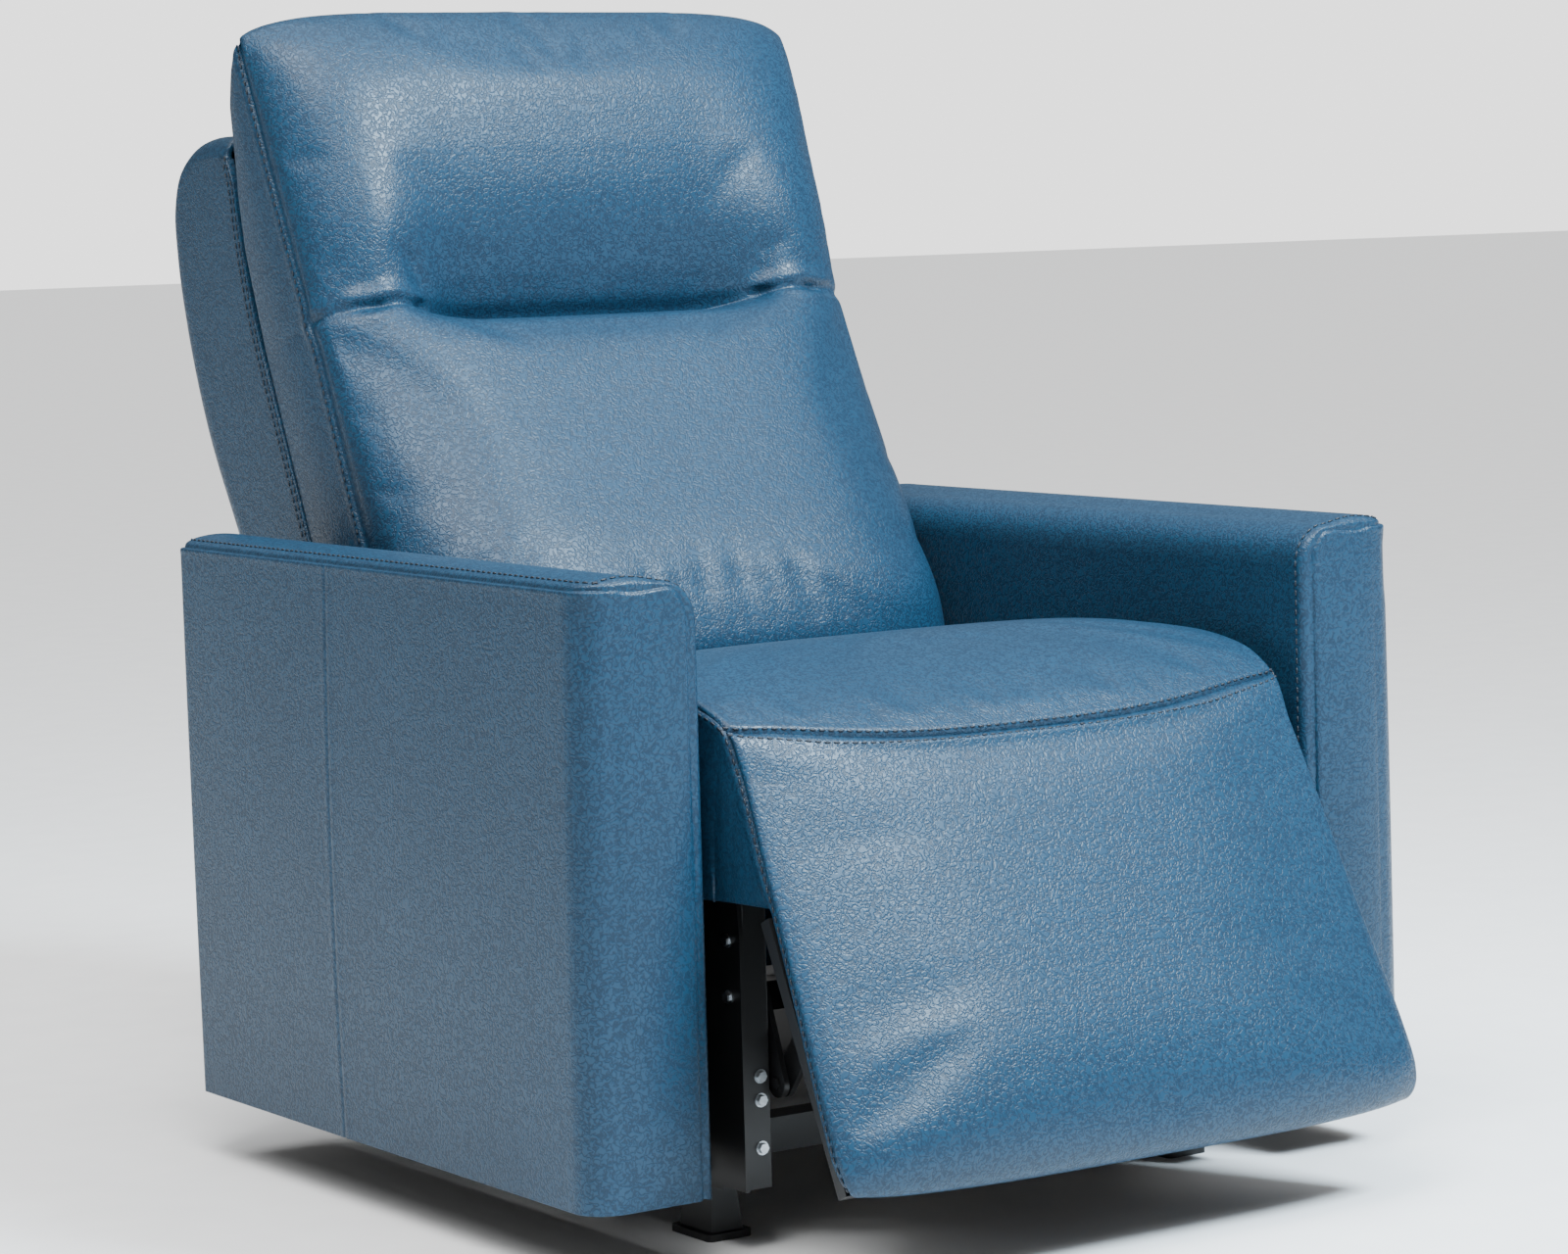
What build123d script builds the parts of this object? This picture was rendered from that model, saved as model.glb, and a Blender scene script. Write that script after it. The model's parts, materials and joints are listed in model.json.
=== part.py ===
from build123d import *
import math
import os

# A power recliner armchair: leather arms, seat, back, head and footrest on a steel mechanism.
# Millimetres. While modelling, the arm fronts stand at y = 0, the floor at z = 0, the sitter faces -Y.

# Arms
overall_width = 860
arm_width = 116
arm_length = 705
arm_rear_lean = 19
arm_top = 565
arm_bottom = 64
arm_wall = 16
arm_front_corner = 30
arm_edge = 16
arm_board = 12
arm_post = 40
arm_frame_lift = 10

# Fits and clearances
arm_gap = 18
carry_gap = 0.3
cut_over = 1
pin_gap = 0.1
link_gap = 2
open_pivot_gap = 0.6
yoke_gap = 2.6
back_yoke_gap = 1.0
head_yoke_gap = 0.8

# Base frame
foot_height = 46
foot_length = 62
foot_width = 44
foot_flange = 6
foot_taper = 5
foot_front = 118
foot_rear = 718
rail_width = 30
rail_height = 40
rail_wall = 2.5
rail_front = 75
rail_rear = 760
cross_tube = 30
front_cross_y = 165
rear_cross_y = 718
motor_cross_y = 400
plate_thickness = 4
plate_front = 34
plate_rear = 520
plate_step = 8
plate_drop = 4
bracket_reach = 50
bracket_depth = 50
bracket_height = 50
bracket_thickness = 4
bracket_lift = 30
bracket_front_y = 150
bolt_radius = 4
bolt_head_radius = 7
bolt_head = 5.5
bolt_reach = 34
rail_bolt_front = 20
rail_bolt_rear = 40

# Seat
hinge_y = 30
hinge_z = 428
nose_radius = 26
seat_crest_y = 156
seat_crest_z = 467
seat_rear_y = 500
seat_rear_z = 424
seat_crown = 12
seat_shoulder = 0.725
seat_fill = 0.45
seat_notch_reach = 14
seat_rail_thickness = 24
seat_rail_height = 46
front_rail_y = 58
front_rail_height = 56
spring_wire = 2
spring_width = 44
spring_pitch = 26
spring_bend = 12.5
spring_count = 5
spring_spacing = 90
torque_to_spring = 7.5

# Footrest and its linkage
footrest_tilt = 25.6
footrest_open = 62
footrest_close = 25
pad_length = 402
pad_seam = 24
pad_crown = 36
pad_gap = 3
pad_fullest = 0.83
pad_lip = 0.75
pad_lip_fill = 0.72
pad_shin_fill = 0.75
board_thickness = 12
board_top = 157
board_inset = 14
footrest_arm_inset = 47
footrest_arm_thickness = 6
footrest_arm_width = 24
footrest_arm_front = 3
flange_width = 22
flange_thickness = 4
link_thickness = 5
link_pivot = 200
link_pivot_depth = 11
lift_pivot_back = 78
lift_pivot_drop = 104
hinge_pin = 6
link_pin = 5
eye_wall = 7
tube_radius = 12.5
tube_end_radius = 6
ear_thickness = 5

# Drives
drive_x = 75
crank_radius = 56
crank_plate = 4
crank_pin = 5
crank_gap = 4
yoke_thickness = 8
yoke_wall = 7
rod_radius = 7.5
rod_length = 190
sleeve_radius = 14
sleeve_length = 110
motor_length = 130
motor_wall = 10
motor_width = 46
motor_height = 44
motor_can_radius = 21
motor_can_length = 90
lever_radius = 80

# Back, in its own leaning plane: heights run up the back, depths run forward from the front seam
back_foot_y = 526
back_foot_z = 400
back_lean = 23.3
back_recline = 38
back_inset = 2
head_overhang = 6
back_depth = 87.4
back_bottom = 60
back_bulge = 72
back_foot_bulge = 95
crease = 394
crease_depth = 45
crease_room = 15
head_recess = 80
head_top = 683
head_crown = 10
head_bulge = 62
head_tilt = 25
pivot_depth = 124
shell_bottom = -10
shell_top = 610
shell_front = 96
shell_thickness = 147
shell_wall = 14
shell_edge = 20
shell_lip_at = (-5, 20)
shell_brow_at = (18, -19)
shell_crown_at = (25, 79)
shell_nape_at = (-36, 27)
shell_blade_at = (-120, 7)
shell_spine_at = (-230, 0)
shell_waist_at = (-345, 15)
shell_hem_at = 52
hollow_lip_drop = 40
hollow_brow_at = (-6, -19)
hollow_crown_at = (-4, -60)
hollow_nape_at = (-48, 28)
hollow_hem_at = 54
upright_width = 29.7
upright_depth = 46
upright_bottom = 60
upright_top = 560
back_rail_height = 35
back_top_rail = 300
back_low_rail = 75
web_width = 50
web_thickness = 2
web_count = 4
back_bracket_thickness = 5
back_bracket_length = 220
head_panel_thickness = 12
head_panel_top = 540
head_panel_half = 245
head_arm_x = 140
head_arm_thickness = 6
head_lever = 80
head_pin = 4
head_motor_length = 120
head_rod_radius = 6
head_strap = 5
head_panel_lift = 16
head_strap_end = 20
head_ear_inset = 6
top_rail_inset = 19

# Rear rail, control panel and power inlet
rear_rail_thickness = 16
rear_rail_bottom = 100
rear_rail_room = 3
panel_y = 300
panel_z = 505
panel_length = 112
panel_height = 36
panel_flange = 3
panel_rim = 5
panel_depth = 18
button_size = 16
button_pitch = 24
button_length = 10
button_proud = 2.5
button_travel = 1.5
button_gap = 0.3
inlet_x = 150
inlet_width = 34
inlet_height = 22
inlet_depth = 28
inlet_wall = 4

# Places that follow from the sizes above
arm_inner = overall_width / 2 - arm_width
seat_half = arm_inner - arm_gap
back_half = seat_half - back_inset
head_half = seat_half + head_overhang
plate_x = arm_inner - bracket_reach - plate_thickness
rail_x = plate_x - rail_width / 2
footrest_arm_x = plate_x - footrest_arm_inset
rail_top = foot_height + rail_height
hinge = (hinge_y, hinge_z)
lift_pivot = (hinge_y + lift_pivot_back, hinge_z - lift_pivot_drop)
spring_z = lift_pivot[1] + tube_radius + torque_to_spring + spring_wire
seat_floor = spring_z + spring_wire + carry_gap
seat_rail_top = seat_floor - carry_gap
front_rail_bottom = spring_z
front_rail_top = front_rail_bottom + front_rail_height
front_rail_rear = front_rail_y + seat_rail_thickness
board_front = footrest_arm_front + board_thickness
tie_x = footrest_arm_x + footrest_arm_thickness + link_gap
lift_x = tie_x + link_thickness + link_gap
footrest_mid = (footrest_open - footrest_close) / 2
under_crease = crease - crease_room
over_crease = crease + crease_room
shell_rear = shell_front + shell_thickness
eye_radius = hinge_pin + eye_wall
link_eye = link_pin + eye_wall


def along(origin, angle, length, side):
    """A (y, z) point: length down a line that hangs at angle, and side in front of it."""
    s = math.sin(math.radians(angle))
    c = math.cos(math.radians(angle))
    return (origin[0] - s * length - c * side, origin[1] - c * length + s * side)


def on_footrest(u, v):
    return along(hinge, footrest_tilt, u, v)


def on_back(height, depth):
    return along((back_foot_y, back_foot_z), back_lean, -height, depth)


def swung(centre, radius, angle):
    """The end of a crank that hangs from centre, angle degrees behind straight down."""
    a = math.radians(angle)
    return (centre[0] + radius * math.sin(a), centre[1] - radius * math.cos(a))


def outline(start, *steps):
    """A flat face from lines (a point) and arcs (a pair: a point on the arc, its end)."""
    edges = []
    here = start
    for step in steps + (start,):
        if isinstance(step[0], tuple):
            edges.append(ThreePointArc(here, step[0], step[1]))
            here = step[1]
        else:
            edges.append(Line(here, step))
            here = step
    return make_face(edges)


def mapped(place, start, *steps):
    """The same outline, with every point put through place."""
    moved = [tuple(place(*p) for p in s) if isinstance(s[0], tuple) else place(*s) for s in steps]
    return outline(place(*start), *moved)


def slab(face, x_from, x_to):
    return extrude(Plane.YZ.offset(x_from) * face, amount=x_to - x_from)


def disc(centre, radius, x_from, x_to):
    return slab(Pos(*centre) * Circle(radius), x_from, x_to)


def block(x_from, x_to, y_from, y_to, z_from, z_to):
    size = (x_to - x_from, y_to - y_from, z_to - z_from)
    return Pos(x_from, y_from, z_from) * Box(*size, align=(Align.MIN, Align.MIN, Align.MIN))


def rod_y(x, z, radius, y_from, y_to):
    length = y_to - y_from
    return Pos(x, (y_from + y_to) / 2, z) * Rot(90, 0, 0) * Cylinder(radius, length)


def link(p, q, p_radius, q_radius, x_from, x_to):
    """A flat link with round ends of two sizes."""
    length = math.hypot(q[0] - p[0], q[1] - p[1])
    heading = math.atan2(q[1] - p[1], q[0] - p[0])
    spread = math.acos((p_radius - q_radius) / length)
    corners = []
    for centre, radius, sign in ((p, p_radius, 1), (q, q_radius, 1), (q, q_radius, -1), (p, p_radius, -1)):
        a = heading + sign * spread
        corners.append((centre[0] + radius * math.cos(a), centre[1] + radius * math.sin(a)))
    body = slab(make_face(Polyline(*corners, close=True)), x_from, x_to)
    return body + disc(p, p_radius, x_from, x_to) + disc(q, q_radius, x_from, x_to)


def crowned(profile, half, shares):
    """A cushion: one profile at each station across it, fullest in the middle."""
    stations = [(-s, r) for s, r in shares] + [(s, r) for s, r in reversed(shares) if s > 0]
    return loft([Plane.YZ.offset(s * half) * profile(r) for s, r in stations])


def flipped(shape):
    return mirror(shape, about=Plane.YZ)


nodes = {}


def pair(name, shape):
    """The sitter's left piece as modelled, and its mirror image on the right."""
    nodes[name + "_left"] = [shape]
    nodes[name + "_right"] = [flipped(shape)]


def group(name, *shapes):
    """Like pieces of both sides in one node."""
    nodes[name] = list(shapes) + [flipped(s) for s in shapes]


# Base rails on four feet, with two cross tubes
rail = block(rail_x - rail_width / 2, plate_x, rail_front, rail_rear, foot_height, rail_top)
rail -= block(
    rail_x - rail_width / 2 + rail_wall, plate_x - rail_wall, rail_front, rail_rear,
    foot_height + rail_wall, rail_top - rail_wall,
)
pair("base_rail", rail)


def foot(y):
    flange = extrude(RectangleRounded(foot_width, foot_length, foot_flange), amount=foot_flange)
    stem_size = (foot_width - 2 * foot_flange, foot_length - 2 * foot_flange)
    stem = extrude(Rectangle(*stem_size), amount=foot_height, taper=foot_taper)
    return Pos(rail_x, y, 0) * (flange + stem)


group("feet", foot(foot_front), foot(foot_rear))


def cross(y, z_from, half):
    return block(-half, half, y - cross_tube / 2, y + cross_tube / 2, z_from, z_from + cross_tube)


cross_half = rail_x - rail_width / 2
cross_z = foot_height + (rail_height - cross_tube) / 2
nodes["front_cross_tube"] = [cross(front_cross_y, cross_z, cross_half)]
nodes["rear_cross_tube"] = [cross(rear_cross_y, cross_z, cross_half)]

# Pivots that the two side plates carry
back_pivot = on_back(0, -pivot_depth)
plate_bottom = foot_height + rail_wall * 2
plate_top = seat_rail_top
ear_radius = tube_end_radius + 2 * eye_wall
plate_face = outline(
    (plate_front, plate_bottom), (plate_front, hinge_z / 2 + plate_bottom),
    (front_rail_y - plate_step, front_rail_top - plate_drop), (front_rail_rear, front_rail_top - plate_drop),
    (front_rail_rear + plate_step, plate_top), (seat_rear_y, plate_top),
    (back_pivot[0], back_pivot[1] + ear_radius), (back_pivot[0], back_pivot[1] - ear_radius),
    (plate_rear, back_pivot[1] - 3 * ear_radius), (plate_rear, plate_bottom),
)
plate = slab(plate_face, plate_x, plate_x + plate_thickness)
plate += disc(back_pivot, ear_radius, plate_x, plate_x + plate_thickness)
rail_middle = rail_top - rail_height / 2
bolt_spots = [(rail_front + rail_bolt_front, rail_middle), (plate_rear - rail_bolt_rear, rail_middle)]
for centre in (lift_pivot, back_pivot):
    plate -= disc(centre, tube_end_radius + pin_gap, plate_x, plate_x + plate_thickness)
for spot in bolt_spots:
    plate -= disc(spot, bolt_radius + pin_gap, plate_x, plate_x + plate_thickness)
pair("side_plate", plate)

# Brackets and bolts that carry the arms
bracket_x = plate_x + plate_thickness
bracket_z = rail_top + bracket_lift


def arm_bracket(y):
    y_from = y - bracket_depth / 2
    y_to = y + bracket_depth / 2
    top = bracket_z + bracket_height
    shelf = block(bracket_x, arm_inner, y_from, y_to, bracket_z, bracket_z + bracket_thickness)
    shelf += block(bracket_x, bracket_x + bracket_thickness, y_from, y_to, bracket_z, top)
    shelf += block(arm_inner - bracket_thickness, arm_inner, y_from, y_to, bracket_z, top)
    spot = (y, top - bracket_height / 3)
    return shelf - disc(spot, bolt_radius + pin_gap, arm_inner - bracket_thickness, arm_inner)


arm_bolt_z = bracket_z + bracket_height * 2 / 3
rear_bracket_y = plate_rear - bracket_depth / 2
bracket_ys = (bracket_front_y, rear_bracket_y)
arm_bolt_spots = [(y, arm_bolt_z) for y in bracket_ys]
group("arm_brackets", *[arm_bracket(y) for y in bracket_ys])


def bolt(spot, face_x, reach):
    """A hexagon bolt whose head sits on face_x and whose shank runs reach outwards (or inwards)."""
    away = -1 if reach > 0 else 1
    head = slab(Pos(*spot) * RegularPolygon(bolt_head_radius, 6), face_x, face_x + away * bolt_head)
    return head + disc(spot, bolt_radius, face_x, face_x + reach)


arm_bolts = [bolt(s, arm_inner - bracket_thickness, bolt_reach) for s in arm_bolt_spots]
rail_bolts = [bolt(s, plate_x + plate_thickness, -plate_thickness) for s in bolt_spots]
group("frame_bolts", *arm_bolts, *rail_bolts)

# Arms: a wooden frame inside a padded leather cover that is open below
arm_face = outline(
    (0, arm_bottom), (0, arm_top), (arm_length, arm_top), (arm_length - arm_rear_lean, arm_bottom)
)
arm = slab(arm_face, arm_inner, overall_width / 2)
front_outer = arm.edges().filter_by(Axis.Z).sort_by(Axis.X)[-1]
arm = fillet(front_outer, arm_front_corner)
arm = fillet(arm.faces().sort_by(Axis.Z)[-1].edges(), arm_edge)
hollow_face = outline(
    (arm_wall, arm_bottom - arm_wall), (arm_wall, arm_top - arm_wall),
    (arm_length - arm_wall, arm_top - arm_wall),
    (arm_length - arm_wall - arm_rear_lean, arm_bottom - arm_wall),
)
hollow_from = arm_inner + arm_wall
hollow_to = overall_width / 2 - arm_wall
arm -= slab(hollow_face, hollow_from, hollow_to)
frame_front = arm_wall + carry_gap
frame_rear = arm_length - arm_wall - arm_rear_lean - carry_gap
frame_top = arm_top - arm_wall - carry_gap
frame_from = hollow_from + carry_gap
frame_to = hollow_to - carry_gap
frame_foot = arm_bottom + arm_frame_lift
wood = block(frame_from, frame_from + arm_board, frame_front, frame_rear, frame_foot, frame_top)
wood += block(frame_to - arm_board, frame_to, frame_front, frame_rear, frame_foot, frame_top)
wood += block(frame_from, frame_to, frame_front, frame_front + arm_post, frame_foot, frame_top)
wood += block(frame_from, frame_to, frame_rear - arm_post, frame_rear, frame_foot, frame_top)
wood += block(frame_from, frame_to, frame_front, frame_rear, frame_top - arm_post, frame_top)
for spot in arm_bolt_spots:
    hole = disc(spot, bolt_radius + pin_gap, arm_inner - cut_over, arm_inner + bolt_reach + carry_gap)
    arm -= hole
    wood -= hole
pair("arm_cover", arm)
pair("arm_frame", wood)

# Control panel with four buttons on the inner face of the right arm, modelled on the left and flipped
pocket_half = panel_length / 2 - panel_rim
pocket_rise = panel_height / 2 - panel_rim
pocket = block(
    arm_inner - cut_over, arm_inner + panel_depth + carry_gap, panel_y - pocket_half - carry_gap,
    panel_y + pocket_half + carry_gap, panel_z - pocket_rise - carry_gap, panel_z + pocket_rise + carry_gap,
)
for name in ("arm_cover_right", "arm_frame_right"):
    nodes[name] = [nodes[name][0] - flipped(pocket)]
flange_face = Pos(panel_y, panel_z) * RectangleRounded(panel_length, panel_height, panel_rim)
panel = slab(flange_face, arm_inner - panel_flange, arm_inner)
panel += block(
    arm_inner, arm_inner + panel_depth, panel_y - pocket_half, panel_y + pocket_half,
    panel_z - pocket_rise, panel_z + pocket_rise,
)
button_names = ("recline_back", "recline_up", "head_forward", "head_back")
button_face_x = arm_inner - panel_flange - button_proud
for index, name in enumerate(button_names):
    spot = Pos(panel_y + (index - (len(button_names) - 1) / 2) * button_pitch, panel_z)
    well = spot * Rectangle(button_size + 2 * button_gap, button_size + 2 * button_gap)
    well_floor = button_face_x + button_length + button_travel + carry_gap
    panel -= slab(well, arm_inner - panel_flange, well_floor)
    cap = slab(spot * Rectangle(button_size, button_size), button_face_x, button_face_x + button_length)
    nodes["button_" + name] = [flipped(fillet(cap.faces().sort_by(Axis.X)[0].edges(), button_proud / 2))]
nodes["control_panel"] = [flipped(panel)]

# Seat rails and sinuous springs
front_rail = block(
    -plate_x, plate_x, front_rail_y, front_rail_rear, front_rail_bottom, front_rail_top
)
nodes["seat_front_rail"] = [front_rail]
rear_rail_front = seat_rear_y - seat_rail_thickness
rear_rail_z = seat_rail_top - 2 * spring_wire - carry_gap
nodes["seat_rear_rail"] = [
    block(-plate_x, plate_x, rear_rail_front, seat_rear_y, rear_rail_z - seat_rail_height, rear_rail_z)
]
side_rail_out = seat_half - link_gap
side_rail = block(
    plate_x + plate_thickness, side_rail_out, front_rail_rear, seat_rear_y,
    seat_rail_top - seat_rail_height, seat_rail_top,
)
group("seat_side_rails", side_rail)


def spring(x):
    start = front_rail_rear + spring_wire + carry_gap
    bends = int((seat_rear_y - seat_rail_thickness / 2 - start) / spring_pitch)
    path = [(x - spring_width / 2, start)]
    for step in range(bends):
        across = x + spring_width / 2 * (1 if step % 2 == 0 else -1)
        path.append((across, start + step * spring_pitch))
        path.append((across, start + (step + 1) * spring_pitch))
    path.append((x, start + bends * spring_pitch))
    line = Pos(0, 0, spring_z) * FilletPolyline(*path, radius=spring_bend)
    section = Plane(origin=line @ 0, z_dir=line % 0) * Circle(spring_wire)
    return sweep(section, path=line)


first_spring = -(spring_count - 1) / 2
nodes["seat_springs"] = [spring((first_spring + i) * spring_spacing) for i in range(spring_count)]

# Seat cushion: crowned top, round nose over the footrest hinge, stepped over the front rail
step_y = front_rail_rear + link_gap
step_z = front_rail_top + carry_gap


def on_nose(angle):
    """A point on the seat's round nose, angle degrees above straight back."""
    a = math.radians(angle)
    return (hinge_y + nose_radius * math.cos(a), hinge_z + nose_radius * math.sin(a))


def seat_profile(rise):
    crest = (seat_crest_y, seat_crest_z + seat_crown * rise)
    rear_top = (seat_rear_y, seat_rear_z + seat_crown * rise / 3)
    nose_top = on_nose(90)
    nose_front = on_nose(180)
    nose_end = on_nose(-math.degrees(math.asin((hinge_z - step_z) / nose_radius)))
    nose_low = on_nose(-90 - math.degrees(math.asin((hinge_z - step_z) / nose_radius)) / 2)
    climb = crest[1] - nose_top[1]
    shoulder = ((nose_top[0] + crest[0]) / 2, nose_top[1] + climb * seat_shoulder)
    middle = ((crest[0] + rear_top[0]) / 2, (crest[1] + rear_top[1]) / 2 + seat_crown * seat_fill)
    return outline(
        (seat_rear_y, seat_floor), (step_y, seat_floor), (step_y, step_z), nose_end, (nose_low, nose_front),
        (on_nose(135), nose_top), (shoulder, crest), (middle, rear_top),
    )


seat_shares = ((1, -0.7), (0.94, 0.1), (0.64, 0.75), (0, 1))
seat = crowned(seat_profile, seat_half, seat_shares)

# Footrest hinge: a clevis on the front rail, its pin, and the footrest arm between its ears
ear_from = footrest_arm_x - link_gap - ear_thickness
ear_to = footrest_arm_x + footrest_arm_thickness + link_gap + ear_thickness
clevis_y = front_rail_y - bracket_thickness
clevis_low = front_rail_bottom + bracket_thickness


def clevis_ear(x_from):
    x_to = x_from + ear_thickness
    face = outline(
        (clevis_y, clevis_low), (front_rail_y, clevis_low), (front_rail_y, front_rail_top - bracket_thickness),
        (hinge_y + eye_radius * math.sqrt(0.5), hinge_z + eye_radius * math.sqrt(0.5)),
        (hinge_y - eye_radius * math.sqrt(0.5), hinge_z - eye_radius * math.sqrt(0.5)),
    )
    ear = slab(face, x_from, x_to) + disc(hinge, eye_radius, x_from, x_to)
    return ear - disc(hinge, hinge_pin + pin_gap, x_from, x_to)


clevis = clevis_ear(ear_from) + clevis_ear(ear_to - ear_thickness)
clevis += block(ear_from, ear_to, clevis_y, front_rail_y, clevis_low, front_rail_top - bracket_thickness)
group("footrest_hinges", clevis)
group("footrest_hinge_pins", disc(hinge, hinge_pin, ear_from - link_gap, ear_to + link_gap))
notch_room = eye_radius + link_gap
notch = block(
    ear_from - 2 * link_gap, ear_to + 2 * link_gap, hinge_y - 2 * nose_radius, step_y,
    step_z - nose_radius, hinge_z + notch_room,
)
plate_notch = block(
    plate_x - link_gap, plate_x + plate_thickness + link_gap, front_rail_y - seat_notch_reach,
    front_rail_rear + seat_notch_reach, seat_floor - cut_over, step_z,
)
nodes["seat_cushion"] = [seat - notch - flipped(notch) - plate_notch - flipped(plate_notch)]

# Footrest arms, board and pad
arm_rear_v = footrest_arm_front - footrest_arm_width
board_end = pad_length - board_inset
link_point = on_footrest(link_pivot, -link_pivot_depth)
bar_face = mapped(
    on_footrest, (0, arm_rear_v / 2), (eye_radius, arm_rear_v), (board_end, arm_rear_v),
    (board_end, footrest_arm_front), (0, footrest_arm_front),
)
bar_to = footrest_arm_x + footrest_arm_thickness
bar = slab(bar_face, footrest_arm_x, bar_to) + disc(hinge, eye_radius, footrest_arm_x, bar_to)
flange_face = mapped(
    on_footrest, (board_top, footrest_arm_front - flange_thickness),
    (board_end, footrest_arm_front - flange_thickness), (board_end, footrest_arm_front),
    (board_top, footrest_arm_front),
)
bar += slab(flange_face, footrest_arm_x - flange_width, footrest_arm_x)
bar -= disc(hinge, hinge_pin + pin_gap, footrest_arm_x, bar_to)
bar += disc(link_point, link_pin, footrest_arm_x, tie_x + link_thickness + link_gap / 2)
pair("footrest_arm", bar)
board_face = mapped(
    on_footrest, (board_top, footrest_arm_front), (board_end, footrest_arm_front),
    (board_end, board_front), (board_top, board_front),
)
board_half = seat_half - 2 * link_gap
nodes["footrest_board"] = [slab(board_face, -board_half, board_half)]


def pad_profile(rise):
    reach = nose_radius + pad_gap
    back = footrest_arm_front + carry_gap
    front = pad_seam + pad_crown * rise
    turn = (math.asin(back / reach) + math.asin(pad_seam / reach)) / 2
    top_back = (math.sqrt(reach**2 - back**2), back)
    top_front = (math.sqrt(reach**2 - pad_seam**2), pad_seam)
    full = pad_length * pad_fullest
    lip = (pad_length - full) * pad_lip + full
    return mapped(
        on_footrest, top_back, ((reach * math.cos(turn), reach * math.sin(turn)), top_front),
        ((pad_length / 2, pad_seam + pad_crown * rise * pad_shin_fill), (full, front)),
        ((lip, pad_seam + pad_crown * rise * pad_lip_fill), (pad_length, pad_seam)),
        (board_end + link_gap, board_front + carry_gap), (board_top, board_front + carry_gap),
    )


pad_shares = ((1, 0.06), (0.92, 0.55), (0.64, 0.86), (0, 1))
nodes["footrest_pad"] = [crowned(pad_profile, seat_half - link_gap, pad_shares)]

# Lift links on a torque tube, tie links to the footrest arms: a parallelogram on each side
tie_end = (link_point[0] + lift_pivot_back, link_point[1] - lift_pivot_drop)
tie = link(link_point, tie_end, link_eye, link_eye, tie_x, tie_x + link_thickness)
tie -= disc(link_point, link_pin + pin_gap, tie_x, tie_x + link_thickness)
tie += disc(tie_end, link_pin, tie_x, lift_x + link_thickness + link_gap)
pair("tie_link", tie)
lift = link(lift_pivot, tie_end, tube_radius + eye_wall, link_eye, lift_x, lift_x + link_thickness)
lift -= disc(lift_pivot, tube_radius + pin_gap, lift_x, lift_x + link_thickness)
lift -= disc(tie_end, link_pin + open_pivot_gap, lift_x, lift_x + link_thickness)
pair("lift_link", lift)
tube_half = plate_x - link_gap


def axle(centre):
    """A cross shaft that turns in the two side plates on narrower ends."""
    end = plate_x + plate_thickness - carry_gap
    return disc(centre, tube_radius, -tube_half, tube_half) + disc(centre, tube_end_radius, -end, end)


nodes["torque_tube"] = [axle(lift_pivot)]

# Crank on the torque tube, and the lever on the back's pivot tube: two cheeks and a pin each


def crank(centre, pin, x):
    inner = yoke_thickness / 2 + crank_gap
    cheeks = None
    for x_from in (x - inner - crank_plate, x + inner):
        cheek = link(centre, pin, tube_radius + eye_wall, crank_pin + eye_wall, x_from, x_from + crank_plate)
        cheek -= disc(centre, tube_radius + pin_gap / 2, x_from, x_from + crank_plate)
        cheeks = cheek if cheeks is None else cheeks + cheek
    return cheeks + disc(pin, crank_pin, x - inner - crank_plate, x + inner + crank_plate)


crank_end = swung(lift_pivot, crank_radius, footrest_mid)
nodes["drive_crank"] = [crank(lift_pivot, crank_end, -drive_x)]
lever_end = swung(back_pivot, lever_radius, back_recline / 2)
nodes["back_lever"] = [crank(back_pivot, lever_end, drive_x)]


def push_rod(x, pin, low, high, slack, toward):
    """A rod along y with a slotted yoke on the pin; toward is the side of the pin the rod lies on."""
    middle = (low + high) / 2
    half_slot = (high - low) / 2 + crank_pin + slack
    half_width = crank_pin + slack
    outer = Rectangle(2 * (half_width + yoke_wall), 2 * (half_slot + yoke_wall))
    slot = SlotOverall(2 * half_slot, 2 * half_width, rotation=90)
    yoke = slab(Pos(pin[0], middle) * (outer - slot), x - yoke_thickness / 2, x + yoke_thickness / 2)
    root = pin[0] + toward * (half_width + yoke_wall / 2)
    tip = pin[0] + toward * (half_width + rod_length)
    return yoke + rod_y(x, middle, rod_radius, min(root, tip), max(root, tip))


def pin_heights(centre, radius, spread):
    return centre[1] - radius, centre[1] - radius * math.cos(math.radians(spread))


crank_low, crank_high = pin_heights(lift_pivot, crank_radius, (footrest_open + footrest_close) / 2)
lever_low, lever_high = pin_heights(back_pivot, lever_radius, back_recline / 2)
footrest_rod_z = (crank_low + crank_high) / 2
back_rod_z = (lever_low + lever_high) / 2
nodes["footrest_push_rod"] = [push_rod(-drive_x, crank_end, crank_low, crank_high, yoke_gap, 1)]
nodes["back_push_rod"] = [push_rod(drive_x, lever_end, lever_low, lever_high, back_yoke_gap, -1)]


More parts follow.
